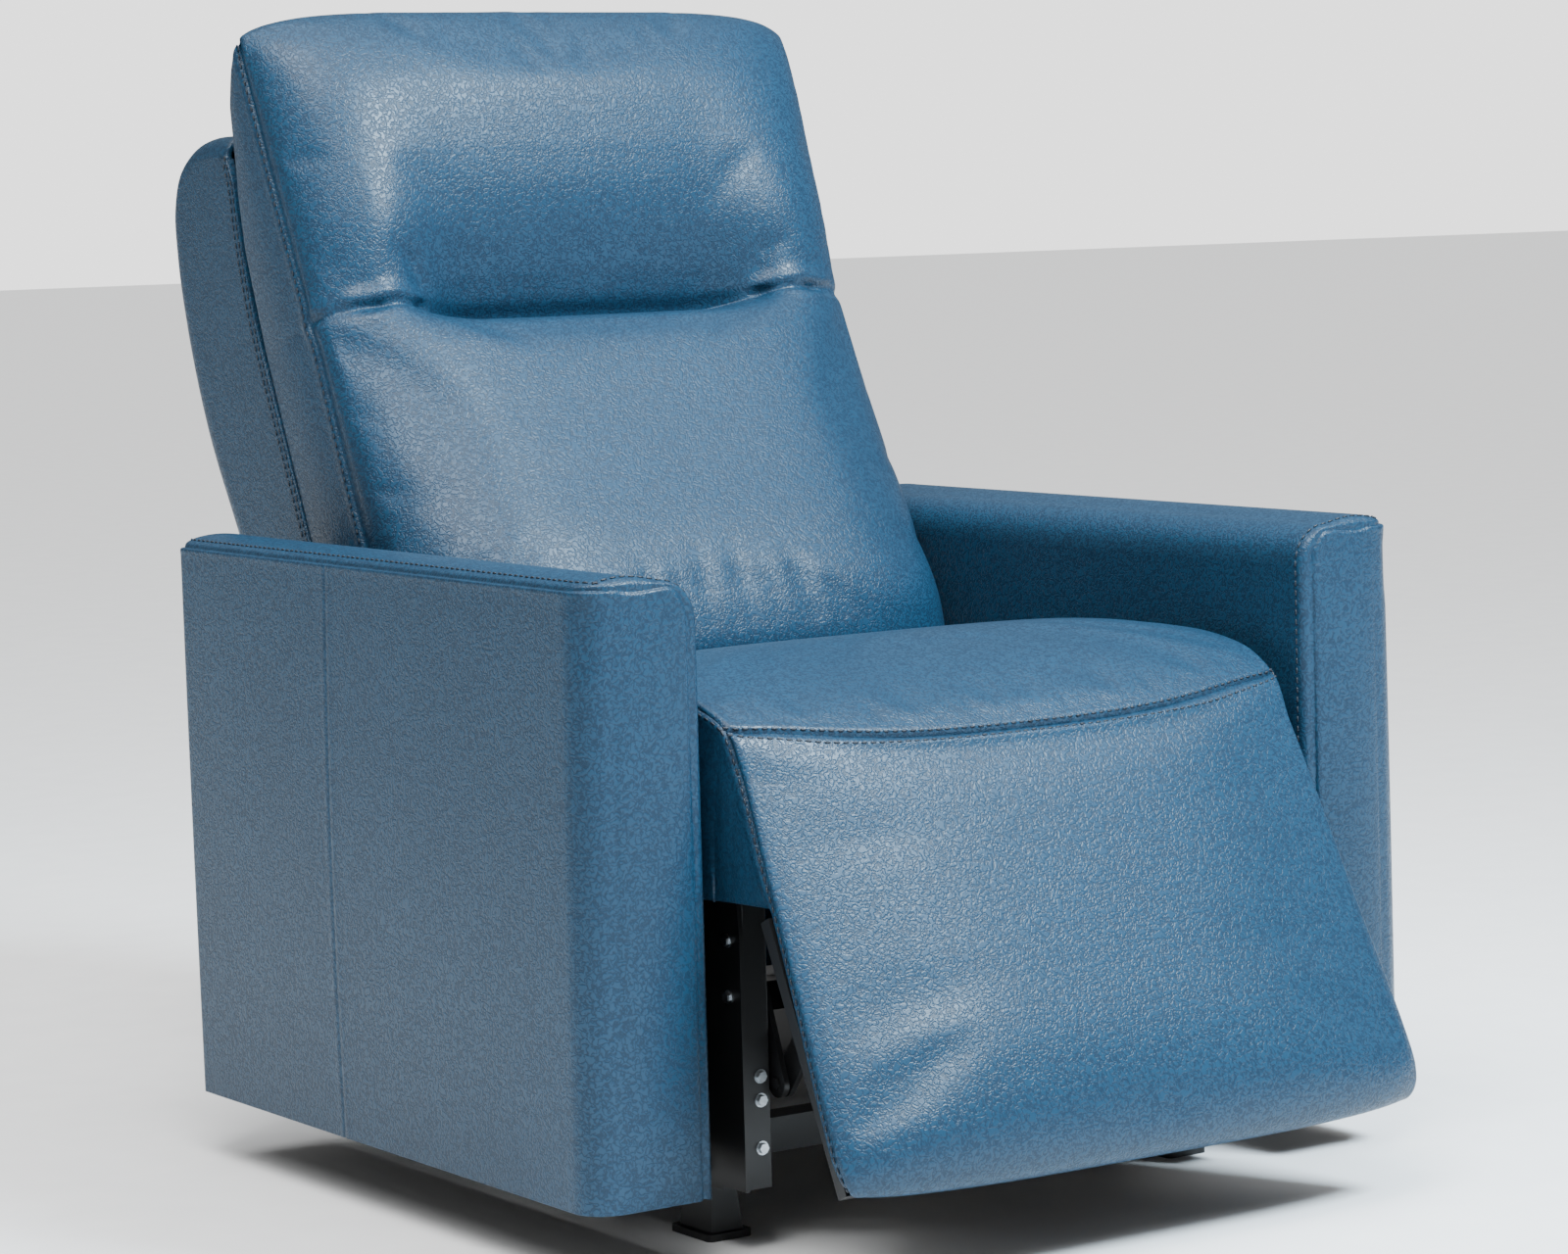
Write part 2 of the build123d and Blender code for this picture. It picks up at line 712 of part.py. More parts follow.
def drive(x, z, toward):
    """Gear housing over the motor cross tube, a sleeve round the rod, and a hanging motor can."""
    y_from = motor_cross_y - motor_length / 2
    y_to = motor_cross_y + motor_length / 2
    half = motor_width / 2
    body = block(x - half, x + half, y_from, y_to, drive_floor, drive_floor + motor_height)
    mouth, bore_end = (y_from, y_to - motor_wall) if toward > 0 else (y_to, y_from + motor_wall)
    sleeve_end = mouth - toward * sleeve_length
    body += rod_y(x, z, sleeve_radius, min(mouth, sleeve_end), max(mouth, sleeve_end))
    body -= rod_y(x, z, rod_radius + pin_gap, min(bore_end, sleeve_end), max(bore_end, sleeve_end))
    side = 1 if x > 0 else -1
    can_from = x + side * half
    can_to = can_from + side * motor_can_length
    can_spot = (motor_cross_y + motor_length / 4, z)
    return body + disc(can_spot, motor_can_radius, min(can_from, can_to), max(can_from, can_to))


drive_floor = min(footrest_rod_z, back_rod_z) - motor_height / 2
nodes["footrest_motor"] = [drive(-drive_x, footrest_rod_z, 1)]
nodes["back_motor"] = [drive(drive_x, back_rod_z, -1)]
nodes["motor_cross_tube"] = [cross(motor_cross_y, drive_floor - cross_tube, plate_x)]

# Rear rail between the arms, under the back drive's yoke
rear_rail_to = arm_length - arm_rear_lean / 2
rear_rail_top = lever_low - crank_pin - back_yoke_gap - yoke_wall - rear_rail_room
nodes["rear_rail"] = [
    block(
        -arm_inner, arm_inner, rear_rail_to - rear_rail_thickness, rear_rail_to, rear_rail_bottom, rear_rail_top
    )
]

# Back frame: pivot tube, brackets, uprights, rails and webbing
upright_out = back_half - shell_wall - carry_gap
upright_in = upright_out - upright_width
frame_depth = back_depth + carry_gap + web_thickness
bracket_in = upright_in - back_bracket_thickness
nodes["back_pivot_tube"] = [axle(back_pivot)]
bracket_deep = pivot_depth + eye_radius
back_bracket_face = mapped(
    on_back, (0, -bracket_deep), (back_bracket_length, -bracket_deep),
    (back_bracket_length, -pivot_depth + eye_radius), (0, -pivot_depth + eye_radius),
)
back_bracket = slab(back_bracket_face, bracket_in, upright_in)
back_bracket += disc(back_pivot, tube_radius + eye_wall, bracket_in, upright_in)
back_bracket -= disc(back_pivot, tube_radius + pin_gap / 2, bracket_in, upright_in)
pair("back_bracket", back_bracket)


def back_bar(low, high, shallow, deep, x_from, x_to):
    """A straight bar in the leaning back: heights low to high, depths shallow to deep behind the seam."""
    face = mapped(on_back, (low, -shallow), (high, -shallow), (high, -deep), (low, -deep))
    return slab(face, x_from, x_to)


upright_deep = frame_depth + upright_depth
pair("back_upright", back_bar(upright_bottom, upright_top, frame_depth, upright_deep, upright_in, upright_out))
rail_shallow = crease_depth + head_lever - top_rail_inset
rail_deep = rail_shallow + upright_depth
low_rail = back_bar(
    back_low_rail, back_low_rail + back_rail_height, frame_depth, upright_deep, -bracket_in, bracket_in
)
nodes["back_low_rail"] = [low_rail]
top_rail = back_bar(
    back_top_rail, back_top_rail + back_rail_height, rail_shallow, rail_deep, -upright_in, upright_in
)
web_pitch = (back_top_rail - web_width - back_low_rail) / (web_count - 1)
nodes["back_webbing"] = [
    back_bar(
        back_low_rail + i * web_pitch, back_low_rail + i * web_pitch + web_width,
        back_depth + carry_gap, frame_depth, -upright_out, upright_out,
    )
    for i in range(web_count)
]

# Head hinge: ears on the top rail, arms on the head panel, and a lever to the head drive
head_hinge = on_back(crease, -crease_depth)
head_eye = head_pin + eye_wall
rail_ledge = back_top_rail + back_rail_height


def head_ear(x_from):
    x_to = x_from + ear_thickness
    face = mapped(
        on_back, (rail_ledge, -rail_deep + head_ear_inset), (rail_ledge, -rail_shallow),
        (crease - head_eye, -crease_depth), (crease + head_eye, -crease_depth),
    )
    ear = slab(face, x_from, x_to) + disc(head_hinge, head_eye, x_from, x_to)
    return ear - disc(head_hinge, head_pin + pin_gap, x_from, x_to)


head_arm_to = head_arm_x + head_arm_thickness
ear_pair = [head_ear(head_arm_x - link_gap - ear_thickness), head_ear(head_arm_to + link_gap)]
group("head_hinges", *ear_pair)
pin_reach = link_gap + ear_thickness + link_gap
panel_back = head_recess + carry_gap + head_panel_thickness
panel_low = over_crease + head_panel_lift
strap_back = panel_back + head_strap


def head_arm(x_from, x_to, bore):
    strap = back_bar(crease - head_eye, crease + head_eye, crease_depth, strap_back, x_from, x_to)
    strap += back_bar(crease, head_panel_top - head_strap_end, panel_back, strap_back, x_from, x_to)
    return strap + disc(head_hinge, head_eye, x_from, x_to) - disc(head_hinge, bore, x_from, x_to)


pinned_arm = head_arm(head_arm_x, head_arm_to, head_pin)
group("head_arms", pinned_arm + disc(head_hinge, head_pin, head_arm_x - pin_reach, head_arm_to + pin_reach))
nodes["head_panel"] = [
    back_bar(panel_low, head_panel_top, head_recess + carry_gap, panel_back, -head_panel_half, head_panel_half)
]
half_tilt = math.radians(head_tilt / 2)
pin_height = crease - head_lever * math.sin(half_tilt)
lever_pin = on_back(pin_height, -crease_depth - head_lever * math.cos(half_tilt))
lever_half = head_arm_thickness / 2
lever = head_arm(-lever_half, lever_half, head_pin)
lever += link(head_hinge, lever_pin, head_eye, head_pin + eye_wall / 2, -lever_half, lever_half)
yoke_reach = lever_half + link_gap + yoke_wall
lever += disc(lever_pin, head_pin, -yoke_reach, yoke_reach)
nodes["head_lever"] = [lever]

# Head drive: a motor under the top rail and a rod through it, with a forked yoke on the lever's pin
rod_depth = crease_depth + head_lever * (1 + math.cos(half_tilt)) / 2
slot_half = head_lever * (1 - math.cos(half_tilt)) / 2 + head_pin + head_yoke_gap
yoke_half = head_pin + head_yoke_gap
cheek_in = lever_half + link_gap
fork_floor = pin_height - yoke_half - 4 * yoke_wall
fork_top = pin_height + yoke_half + yoke_wall / 2
fork_near = rod_depth - slot_half - yoke_wall / 2
fork_far = rod_depth + slot_half + yoke_wall / 2
fork_out = cheek_in + yoke_wall
fork = back_bar(fork_floor, fork_floor + yoke_wall, fork_near, fork_far, -fork_out, fork_out)
fork += back_bar(fork_floor, fork_top, fork_near, fork_far, cheek_in, fork_out)
fork += back_bar(fork_floor, fork_top, fork_near, fork_far, -fork_out, -cheek_in)
fork -= back_bar(
    pin_height - yoke_half, pin_height + yoke_half, rod_depth - slot_half, rod_depth + slot_half,
    -fork_out, fork_out,
)


def rod_up(radius, low, high):
    """A round bar up the leaning back at the head drive's depth."""
    y, z = on_back(low, -rod_depth)
    turn = Pos(0, y, z) * Rot(-back_lean, 0, 0)
    return turn * Cylinder(radius, high - low, align=(Align.CENTER, Align.CENTER, Align.MIN))


rod_low = back_top_rail - head_motor_length / 2
fork += rod_up(head_rod_radius, rod_low, fork_floor + cut_over)
nodes["head_push_rod"] = [fork]
top_rail -= rod_up(head_rod_radius + pin_gap, back_top_rail - cut_over, rail_ledge + cut_over)
nodes["back_top_rail"] = [top_rail]
motor = back_bar(
    back_top_rail - head_motor_length, back_top_rail, rail_shallow, rail_deep, -motor_width / 2, motor_width / 2
)
nodes["head_motor"] = [motor - rod_up(head_rod_radius + pin_gap, rod_low - head_tilt, back_top_rail + cut_over)]

# Outlines in the back's plane: (height, depth) where drawn flat, then what each gains where fullest


def fuller(spot, share):
    (height, depth), (gain_height, gain_depth) = spot
    return (height + gain_height * share, depth + gain_depth * share)


# Back shell, hollow and open to the front and below
shell_draw = (-shell_edge, shell_edge)
shell_lip = ((shell_top + shell_lip_at[0], shell_lip_at[1] - shell_front), (-shell_edge, 0))
shell_brow = ((shell_top + shell_brow_at[0], shell_brow_at[1] - shell_front), (-shell_edge, 0))
shell_crown, shell_nape, shell_blade, shell_spine, shell_waist = [
    ((shell_top + at[0], at[1] - shell_rear), shell_draw)
    for at in (shell_crown_at, shell_nape_at, shell_blade_at, shell_spine_at, shell_waist_at)
]
shell_hem = ((shell_bottom, shell_hem_at - shell_rear), (0, shell_edge))
shell_shares = ((1, 1), (0.965, 0.35), (0.9, 0.05), (0.75, -0.05), (0.5, -0.1), (0.25, -0.14), (0, -0.15))


def shell_profile(drawn):
    lip, brow, crown, nape, blade, spine, waist, hem = [
        fuller(spot, drawn)
        for spot in (
            shell_lip, shell_brow, shell_crown, shell_nape, shell_blade, shell_spine, shell_waist, shell_hem
        )
    ]
    return mapped(
        on_back, (shell_bottom, -shell_front), (crease, -shell_front), lip, (brow, crown), (nape, blade),
        (spine, waist), hem,
    )


hollow_front = shell_thickness - shell_front
hollow_low = shell_bottom - shell_wall
hollow_rear = shell_rear - shell_wall
hollow_nape, hollow_blade, hollow_spine, hollow_waist = [
    (shell_top + at[0], at[1] - hollow_rear)
    for at in (hollow_nape_at, shell_blade_at, shell_spine_at, shell_waist_at)
]
hollow = mapped(
    on_back, (hollow_low, hollow_front), (shell_top - hollow_lip_drop, hollow_front),
    (shell_top + hollow_brow_at[0], hollow_brow_at[1] - shell_front),
    (shell_top + hollow_crown_at[0], hollow_crown_at[1] - shell_front),
    (hollow_nape, hollow_blade), (hollow_spine, hollow_waist), (hollow_low, hollow_hem_at - hollow_rear),
)
shell = crowned(shell_profile, back_half, shell_shares)
inner_half = back_half - shell_wall
nodes["back_shell"] = [shell - slab(hollow, -inner_half, inner_half)]

# Back cushion, from the seat to the crease
cushion_shares = ((1, 0.05), (0.925, 0.5), (0.65, 0.86), (0, 1))
back_roll = ((under_crease - 9, -3), (0, 28))
back_roll_end = ((under_crease - 24, 1), (-25, 55))
back_belly = ((crease / 2, 1.5), (0, back_bulge))
back_toe = ((34, 0.5), (-29, back_foot_bulge))


def back_profile(rise):
    roll, roll_end, belly, toe = [fuller(s, rise) for s in (back_roll, back_roll_end, back_belly, back_toe)]
    return mapped(
        on_back, (back_bottom, -back_depth), (rail_ledge + 4, -back_depth), (under_crease - 7, -crease_depth),
        (under_crease, -10), (roll, roll_end), (belly, toe),
    )


nodes["back_cushion"] = [crowned(back_profile, back_half, cushion_shares)]

# Head cushion, from the crease to the top
head_top_rear = ((head_top - 11, -22), (head_crown, 0))
head_top_bend = ((head_top + 1, -8), (head_crown, 22))
head_brow = ((head_top - 15, 1), (0, 0.8 * head_bulge))
head_face = (((over_crease + head_top) / 2, 2), (0, 1.06 * head_bulge))
head_jowl = ((over_crease + 51, 1), (0, head_bulge))
head_tuck = ((over_crease + 15, -1), (0, 0.58 * head_bulge))


def head_profile(rise):
    top_rear, top_bend, brow, face, jowl, tuck = [
        fuller(s, rise) for s in (head_top_rear, head_top_bend, head_brow, head_face, head_jowl, head_tuck)
    ]
    return mapped(
        on_back, (over_crease + 3, -head_recess), (head_panel_top + 5, 4 - head_recess),
        ((head_top - 51, -46), top_rear), (top_bend, brow), (face, jowl), (tuck, (over_crease, -10)),
    )


nodes["head_cushion"] = [crowned(head_profile, head_half, cushion_shares)]

# Power inlet on the rear cross tube, a shrouded socket that opens to the rear
inlet_z = cross_z + cross_tube
inlet_y = rear_cross_y + cross_tube / 2
inlet_from = inlet_x - inlet_width / 2
inlet_to = inlet_x + inlet_width / 2
inlet_top = inlet_z + inlet_height
inlet = block(inlet_from, inlet_to, inlet_y - inlet_depth, inlet_y, inlet_z, inlet_top)
inlet -= block(
    inlet_from + inlet_wall, inlet_to - inlet_wall, inlet_y - inlet_depth / 2, inlet_y,
    inlet_z + inlet_wall, inlet_top - inlet_wall,
)
nodes["power_inlet"] = [inlet]

# The finished part has its origin under the middle of its box
front_end = nodes["footrest_pad"][0].bounding_box().min.Y
rear_end = nodes["back_shell"][0].bounding_box().max.Y
centre_y = (front_end + rear_end) / 2
os.makedirs("parts", exist_ok=True)
for name, shapes in nodes.items():
    solids = [solid for shape in shapes for solid in shape.solids()]
    export_step(Pos(0, -centre_y, 0) * Compound(children=solids), f"parts/{name}.step")
print(len(nodes), "nodes, middle at y =", round(centre_y, 3))
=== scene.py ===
# %% [markdown]
# # A power recliner armchair in blue leather
# The chair is one seat between two padded arms. A steel mechanism under the seat lifts the
# footrest, tips the back and tilts the head, and leather covers hide nearly all of it.
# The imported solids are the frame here: each soft solid is exchanged for a sewn cover that sits
# in the same place, and the steel, wood and plastic pieces keep their shape and get a finish.

# %% The frame
import json
import math

import bmesh
import bpy
import numpy as np
from mathutils import Matrix, Vector
from mathutils.kdtree import KDTree


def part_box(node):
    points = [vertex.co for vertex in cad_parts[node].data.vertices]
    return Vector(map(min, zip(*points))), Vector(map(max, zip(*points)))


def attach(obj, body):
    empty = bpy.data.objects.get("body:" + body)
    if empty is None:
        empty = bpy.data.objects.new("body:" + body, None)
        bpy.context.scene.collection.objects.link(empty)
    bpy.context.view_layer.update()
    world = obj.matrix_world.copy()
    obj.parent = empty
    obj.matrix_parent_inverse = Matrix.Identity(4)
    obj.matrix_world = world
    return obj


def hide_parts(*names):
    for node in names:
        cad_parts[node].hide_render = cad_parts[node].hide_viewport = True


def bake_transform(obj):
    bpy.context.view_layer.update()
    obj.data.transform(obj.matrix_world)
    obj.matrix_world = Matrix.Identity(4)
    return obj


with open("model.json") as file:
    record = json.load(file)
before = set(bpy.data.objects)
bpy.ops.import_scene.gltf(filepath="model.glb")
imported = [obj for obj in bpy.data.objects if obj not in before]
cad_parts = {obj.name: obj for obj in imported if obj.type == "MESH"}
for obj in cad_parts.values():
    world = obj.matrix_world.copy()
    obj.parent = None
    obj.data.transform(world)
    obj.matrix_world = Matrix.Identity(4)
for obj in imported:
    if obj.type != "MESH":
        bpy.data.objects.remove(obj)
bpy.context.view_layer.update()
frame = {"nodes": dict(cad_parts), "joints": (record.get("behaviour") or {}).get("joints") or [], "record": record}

# %% [markdown]
# ## Where things are
# An upholsterer measures from the front of the arms, in millimetres, so the covers are drawn that
# way and moved to the frame's metres in one step. Two more rulers are handy: one lies along the
# leaning back, the other along the footrest, which hangs from its hinge. Both start at the frame's
# own joints, so a cover follows the mechanism if its places change.

# %% Rulers for the seat, the back and the footrest
MM = 0.001
front_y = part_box("arm_cover_left")[0].y
joints = {joint["name"]: joint for joint in frame["joints"]}
# the head's hinge on the back's ruler, and how far the footrest hangs out from upright
hinge_t, hinge_n = 394.0, -45.0
footrest_tilt = math.radians(25.6)


def pivot(name):
    """A joint's (y, z) in millimetres from the front of the arms."""
    place = joints[name]["pos_m"]
    return place[1] / MM - front_y / MM, place[2] / MM


def to_row(points):
    """Millimetres from the front of the arms, as metres in the frame."""
    moved = np.array(points, float) * MM
    moved[..., 1] += front_y
    return moved


head_axis = joints["head_drive"]["axis"]
back_lean = math.atan2(head_axis[1], head_axis[2])
head_y, head_z = pivot("head_tilt")
back_foot_y = head_y - math.sin(back_lean) * hinge_t + math.cos(back_lean) * hinge_n
back_foot_z = head_z - math.cos(back_lean) * hinge_t - math.sin(back_lean) * hinge_n
footrest_y, footrest_z = pivot("footrest_lift")


def on_back(t, n):
    """(y, z) at t up the leaning back and n forward of its front seam."""
    y = back_foot_y + math.sin(back_lean) * t - math.cos(back_lean) * n
    z = back_foot_z + math.cos(back_lean) * t + math.sin(back_lean) * n
    return y, z


def on_footrest(u, v):
    """(y, z) at u down the hanging footrest and v forward of its hinge line."""
    y = footrest_y - math.sin(footrest_tilt) * u - math.cos(footrest_tilt) * v
    z = footrest_z - math.cos(footrest_tilt) * u + math.sin(footrest_tilt) * v
    return y, z


print("back leans", round(math.degrees(back_lean), 1), "degrees")
print("back's foot at", round(back_foot_y), round(back_foot_z), "mm")

# %% [markdown]
# ## Nodes
# The backdrop, the finishes, the stitches and the bolts are all small trees of nodes. They could
# be joined up by hand in Blender's editor, but a script can be read and run again. One function
# adds a node, sets its values and links it, and another turns a given colour into the linear light
# that the renderer adds up.

# %% Two helpers for node trees
def linear(code):
    """An sRGB hex colour as linear red, green, blue and full cover."""
    parts = [int(code[i:i + 2], 16) / 255 for i in (1, 3, 5)]
    light = [c / 12.92 if c <= 0.04045 else ((c + 0.055) / 1.055) ** 2.4 for c in parts]
    return (*light, 1.0)


def node(tree, kind, settings=None, links=None):
    """Adds a node, sets its sockets or options, and links sources to its sockets."""
    made = tree.nodes.new(kind)
    for name, value in (settings or {}).items():
        if isinstance(name, int) or name in made.inputs:
            made.inputs[name].default_value = value
        else:
            setattr(made, name, value)
    for name, source in (links or {}).items():
        tree.links.new(source, made.inputs[name])
    return made


print("a middle grey is", round(linear("#808080")[0], 3), "in linear light")

# %% [markdown]
# ## Floor, light and camera
# The chair was photographed in a white studio from its right front corner, a little above the
# arms, with a long lens. A cool soft light hangs over the front, a weaker one fills from the left,
# the white ceiling glows, and a pale floor catches the shadow. The room's own glow is weak, so that
# the hide keeps its colour, while the camera sees a brighter backdrop. The camera's angles come
# from fitting the chair's edges in the photograph.

# %% Floor and backdrop
floor_half = 40.0
floor_corners = [(-floor_half, -floor_half, 0), (floor_half, -floor_half, 0)]
floor_corners += [(floor_half, floor_half, 0), (-floor_half, floor_half, 0)]
floor_mesh = bpy.data.meshes.new("studio_floor")
floor_mesh.from_pydata(floor_corners, [], [(0, 1, 2, 3)])
floor = bpy.data.objects.new("studio_floor", floor_mesh)
bpy.context.scene.collection.objects.link(floor)

room_glow, backdrop_glow = 0.25, 2.7
world = bpy.data.worlds.new("studio")
world.use_nodes = True
bpy.context.scene.world = world
sky = world.node_tree
room = sky.nodes["Background"]
room.inputs["Strength"].default_value = room_glow
room.inputs["Color"].default_value = (1, 1, 1, 1)
backdrop = node(sky, "ShaderNodeBackground", {"Strength": backdrop_glow})
ray = node(sky, "ShaderNodeLightPath")
either = node(sky, "ShaderNodeMixShader", {},
              {0: ray.outputs["Is Camera Ray"], 1: room.outputs[0], 2: backdrop.outputs[0]})
sky.links.new(either.outputs[0], sky.nodes["World Output"].inputs["Surface"])
print("floor", 2 * floor_half, "m wide, room glow", room_glow, "backdrop glow", backdrop_glow)


# %% Lights
def soft_light(name, place, target, size, watts, tint=(1, 1, 1)):
    """A square soft box that looks at a target."""
    data = bpy.data.lights.new(name, "AREA")
    data.size = size
    data.energy = watts
    data.color = tint
    lamp = bpy.data.objects.new(name, data)
    lamp.location = place
    lamp.rotation_euler = (Vector(target) - Vector(place)).to_track_quat("-Z", "Y").to_euler()
    bpy.context.scene.collection.objects.link(lamp)


seat_middle = (0, 0, 0.5)
cool_white = (0.74, 0.89, 1)
soft_light("key_light", place=(0.9, -1.9, 2.8), target=seat_middle, size=0.9, watts=280, tint=cool_white)
soft_light("left_light", place=(-1.2, -1.0, 3.4), target=seat_middle, size=1.5, watts=120)
ceiling_strength, ceiling_spread = 3.6, math.radians(80)
ceiling_turn = (math.radians(4), math.radians(-5), 0)
ceiling_data = bpy.data.lights.new("ceiling_light", "SUN")
ceiling_data.energy = ceiling_strength
ceiling_data.angle = ceiling_spread
ceiling = bpy.data.objects.new("ceiling_light", ceiling_data)
ceiling.rotation_euler = ceiling_turn
bpy.context.scene.collection.objects.link(ceiling)
print("lights:", len(bpy.data.lights))

# %% Camera
camera_yaw, camera_pitch, camera_roll = (math.radians(a) for a in (-33.959, 5.6192, -1.5445))
eye_x, eye_y, eye_z = -2254.18, -2998.91, 874.47
sensor_mm, lens_mm = 36.0, 103.15
level = math.cos(camera_pitch)
behind = Vector((math.sin(camera_yaw) * level, -math.cos(camera_yaw) * level, math.sin(camera_pitch)))
right = Vector((math.cos(camera_yaw), math.sin(camera_yaw), 0))
above = behind.cross(right)
rolled_right = math.cos(camera_roll) * right + math.sin(camera_roll) * above
rolled_above = math.cos(camera_roll) * above - math.sin(camera_roll) * right
camera_data = bpy.data.cameras.new("photo_camera")
camera_data.sensor_width = sensor_mm
camera_data.lens = lens_mm
camera = bpy.data.objects.new("photo_camera", camera_data)
turn = Matrix((rolled_right, rolled_above, behind)).transposed().to_4x4()
camera.matrix_world = Matrix.Translation(Vector(to_row((eye_x, eye_y, eye_z)))) @ turn
bpy.context.scene.collection.objects.link(camera)
bpy.context.scene.camera = camera
print("camera at", [round(v, 3) for v in camera.matrix_world.translation])

# %% [markdown]
# ## Finishes
# Every finish starts from what the real thing is: pigmented cow hide with a pressed pebble grain,
# polyester thread, powder-coated steel, zinc plate, plywood, moulded plastic and woven webbing.
# A material is a tree of nodes that reads the piece's own coordinates, which keeps the pattern at
# its real size on every piece and needs no picture.

# %% The start of every finish
# the sockets of a Mix node that mixes colours
MIX_FACTOR, MIX_A, MIX_B, MIX_RESULT = 0, 6, 7, 2


def finish_tree(name, roughness=0.5, metallic=0.0):
    """A new material, its tree, its shader and its Object coordinates."""
    material = bpy.data.materials.new(name)
    material.use_nodes = True
    tree = material.node_tree
    shader = tree.nodes["Principled BSDF"]
    shader.inputs["Roughness"].default_value = roughness
    shader.inputs["Metallic"].default_value = metallic
    place = node(tree, "ShaderNodeTexCoord").outputs["Object"]
    return material, tree, shader, place


def per_mm(size):
    """The texture scale that gives a pattern this many millimetres wide."""
    return 1000.0 / size


print("a 4 mm grain has scale", per_mm(4))

# %% [markdown]
# ### Pebbled leather
# The hide is tanned, sprayed with blue pigment and pressed with a hot plate, which leaves small
# pebbles with thin winding valleys between them. Cells would give pebbles too, but they look like
# tiles and cost much time. A noise crosses its own middle value along winding lines, so its
# distance from that value is low in the valleys and high on the pebbles, which is just what the
# press leaves. Pigment is thin where the hide is stretched, so the tone drifts slowly.

# %% Leather finish
# the real pebbles are about 3 mm wide; they are drawn a little coarser so that they show
pebble_mm, pebble_relief_mm, valley_share, drift_mm = 4.4, 0.5, 0.13, 150.0


def pebbled_leather():
    """Blue pigmented hide: glossier pebbles, with painted shade darkening the dull valleys between them."""
    material, tree, shader, place = finish_tree("blue_pebbled_leather")
    shader.inputs["Specular IOR Level"].default_value = 0.24
    grain = node(tree, "ShaderNodeTexNoise",
                 {"Scale": per_mm(pebble_mm), "Detail": 1.0, "Distortion": 0.5}, {"Vector": place})
    away = node(tree, "ShaderNodeMath", {"operation": "SUBTRACT", 1: 0.5}, {0: grain.outputs["Fac"]})
    apart = node(tree, "ShaderNodeMath", {"operation": "ABSOLUTE"}, {0: away.outputs["Value"]})
    pebble = node(tree, "ShaderNodeMapRange", {"interpolation_type": "SMOOTHSTEP", "From Max": valley_share},
                  {"Value": apart.outputs["Value"]})
    height = pebble.outputs["Result"]
    bump = node(tree, "ShaderNodeBump", {"Strength": 0.42, "Distance": pebble_relief_mm * MM},
                {"Height": height})
    drift = node(tree, "ShaderNodeTexNoise", {"Scale": per_mm(drift_mm), "Detail": 2.0}, {"Vector": place})
    tone = node(tree, "ShaderNodeMix",
                {"data_type": "RGBA", MIX_A: linear("#18354a"), MIX_B: linear("#1d3e56")},
                {MIX_FACTOR: drift.outputs["Fac"]})
    # the valleys get a darker blue: painted shade in the grain's hollows
    hide = node(tree, "ShaderNodeMix", {"data_type": "RGBA", MIX_A: linear("#132a3d")},
                {MIX_FACTOR: height, MIX_B: tone.outputs[MIX_RESULT]})
    gloss = node(tree, "ShaderNodeMapRange", {"To Min": 0.42, "To Max": 0.33}, {"Value": height})
    tree.links.new(hide.outputs[MIX_RESULT], shader.inputs["Base Color"])
    tree.links.new(gloss.outputs["Result"], shader.inputs["Roughness"])
    tree.links.new(bump.outputs["Normal"], shader.inputs["Normal"])
    return material


leather = pebbled_leather()
print("made", leather.name)

# %% [markdown]
# ### Thread, steel, wood, plastic and cloth
# These show in small areas, so each has one pattern near its real size: the twist of the thread,
# the orange peel of powder coat, the spangle of zinc, the plies and pores of birch, the spark
# texture of moulded plastic and the weave of webbing. The same pattern sets tone and relief.

# %% Other finishes
def tint_and_relief(tree, shader, height, tones, strength, relief_mm):
    """Lets one height pattern set a finish's tone and its relief."""
    dark, light = tones
    tone = node(tree, "ShaderNodeMix", {"data_type": "RGBA", MIX_A: linear(dark), MIX_B: linear(light)},
                {MIX_FACTOR: height})
    bump = node(tree, "ShaderNodeBump", {"Strength": strength, "Distance": relief_mm * MM},
                {"Height": height})
    tree.links.new(tone.outputs[MIX_RESULT], shader.inputs["Base Color"])
    tree.links.new(bump.outputs["Normal"], shader.inputs["Normal"])


def patterned(name, tones, size_mm, relief_mm, roughness, metallic=0.0, stretch=(1, 1, 1)):
    """A finish with a noise pattern."""
    material, tree, shader, place = finish_tree(name, roughness, metallic)
    stretched = node(tree, "ShaderNodeMapping", {"Scale": stretch}, {"Vector": place})
    grit = node(tree, "ShaderNodeTexNoise", {"Scale": per_mm(size_mm), "Detail": 1.0},
                {"Vector": stretched.outputs["Vector"]})
    tint_and_relief(tree, shader, grit.outputs["Fac"], tones, 0.5, relief_mm)
    return material


def woven(name, tones, thread_mm, relief_mm, roughness):
    """A plain weave: two bands of waves at right angles."""
    material, tree, shader, place = finish_tree(name, roughness)
    # a wave repeats every 2 pi / 20 at scale 1, so the threads come out six times too wide, to show
    bands = per_mm(thread_mm) / 20
    weft, warp = (node(tree, "ShaderNodeTexWave", {"bands_direction": way, "Scale": bands}, {"Vector": place})
                  for way in ("X", "Z"))
    height = node(tree, "ShaderNodeMath", {"operation": "MULTIPLY"},
                  {0: weft.outputs["Fac"], 1: warp.outputs["Fac"]})
    tint_and_relief(tree, shader, height.outputs["Value"], tones, 0.6, relief_mm)
    return material


# twisted thread, waxed: nearly black blue, with a soft sheen
thread = patterned("bonded_polyester_thread", ("#050f1a", "#0a1a2a"),
                   size_mm=0.6, relief_mm=0.15, roughness=0.55)
# baked powder: black, with a fine orange peel that breaks up its highlights
powder_coat = patterned("black_powder_coated_steel", ("#060607", "#0b0c0d"),
                        size_mm=0.8, relief_mm=0.12, roughness=0.45)
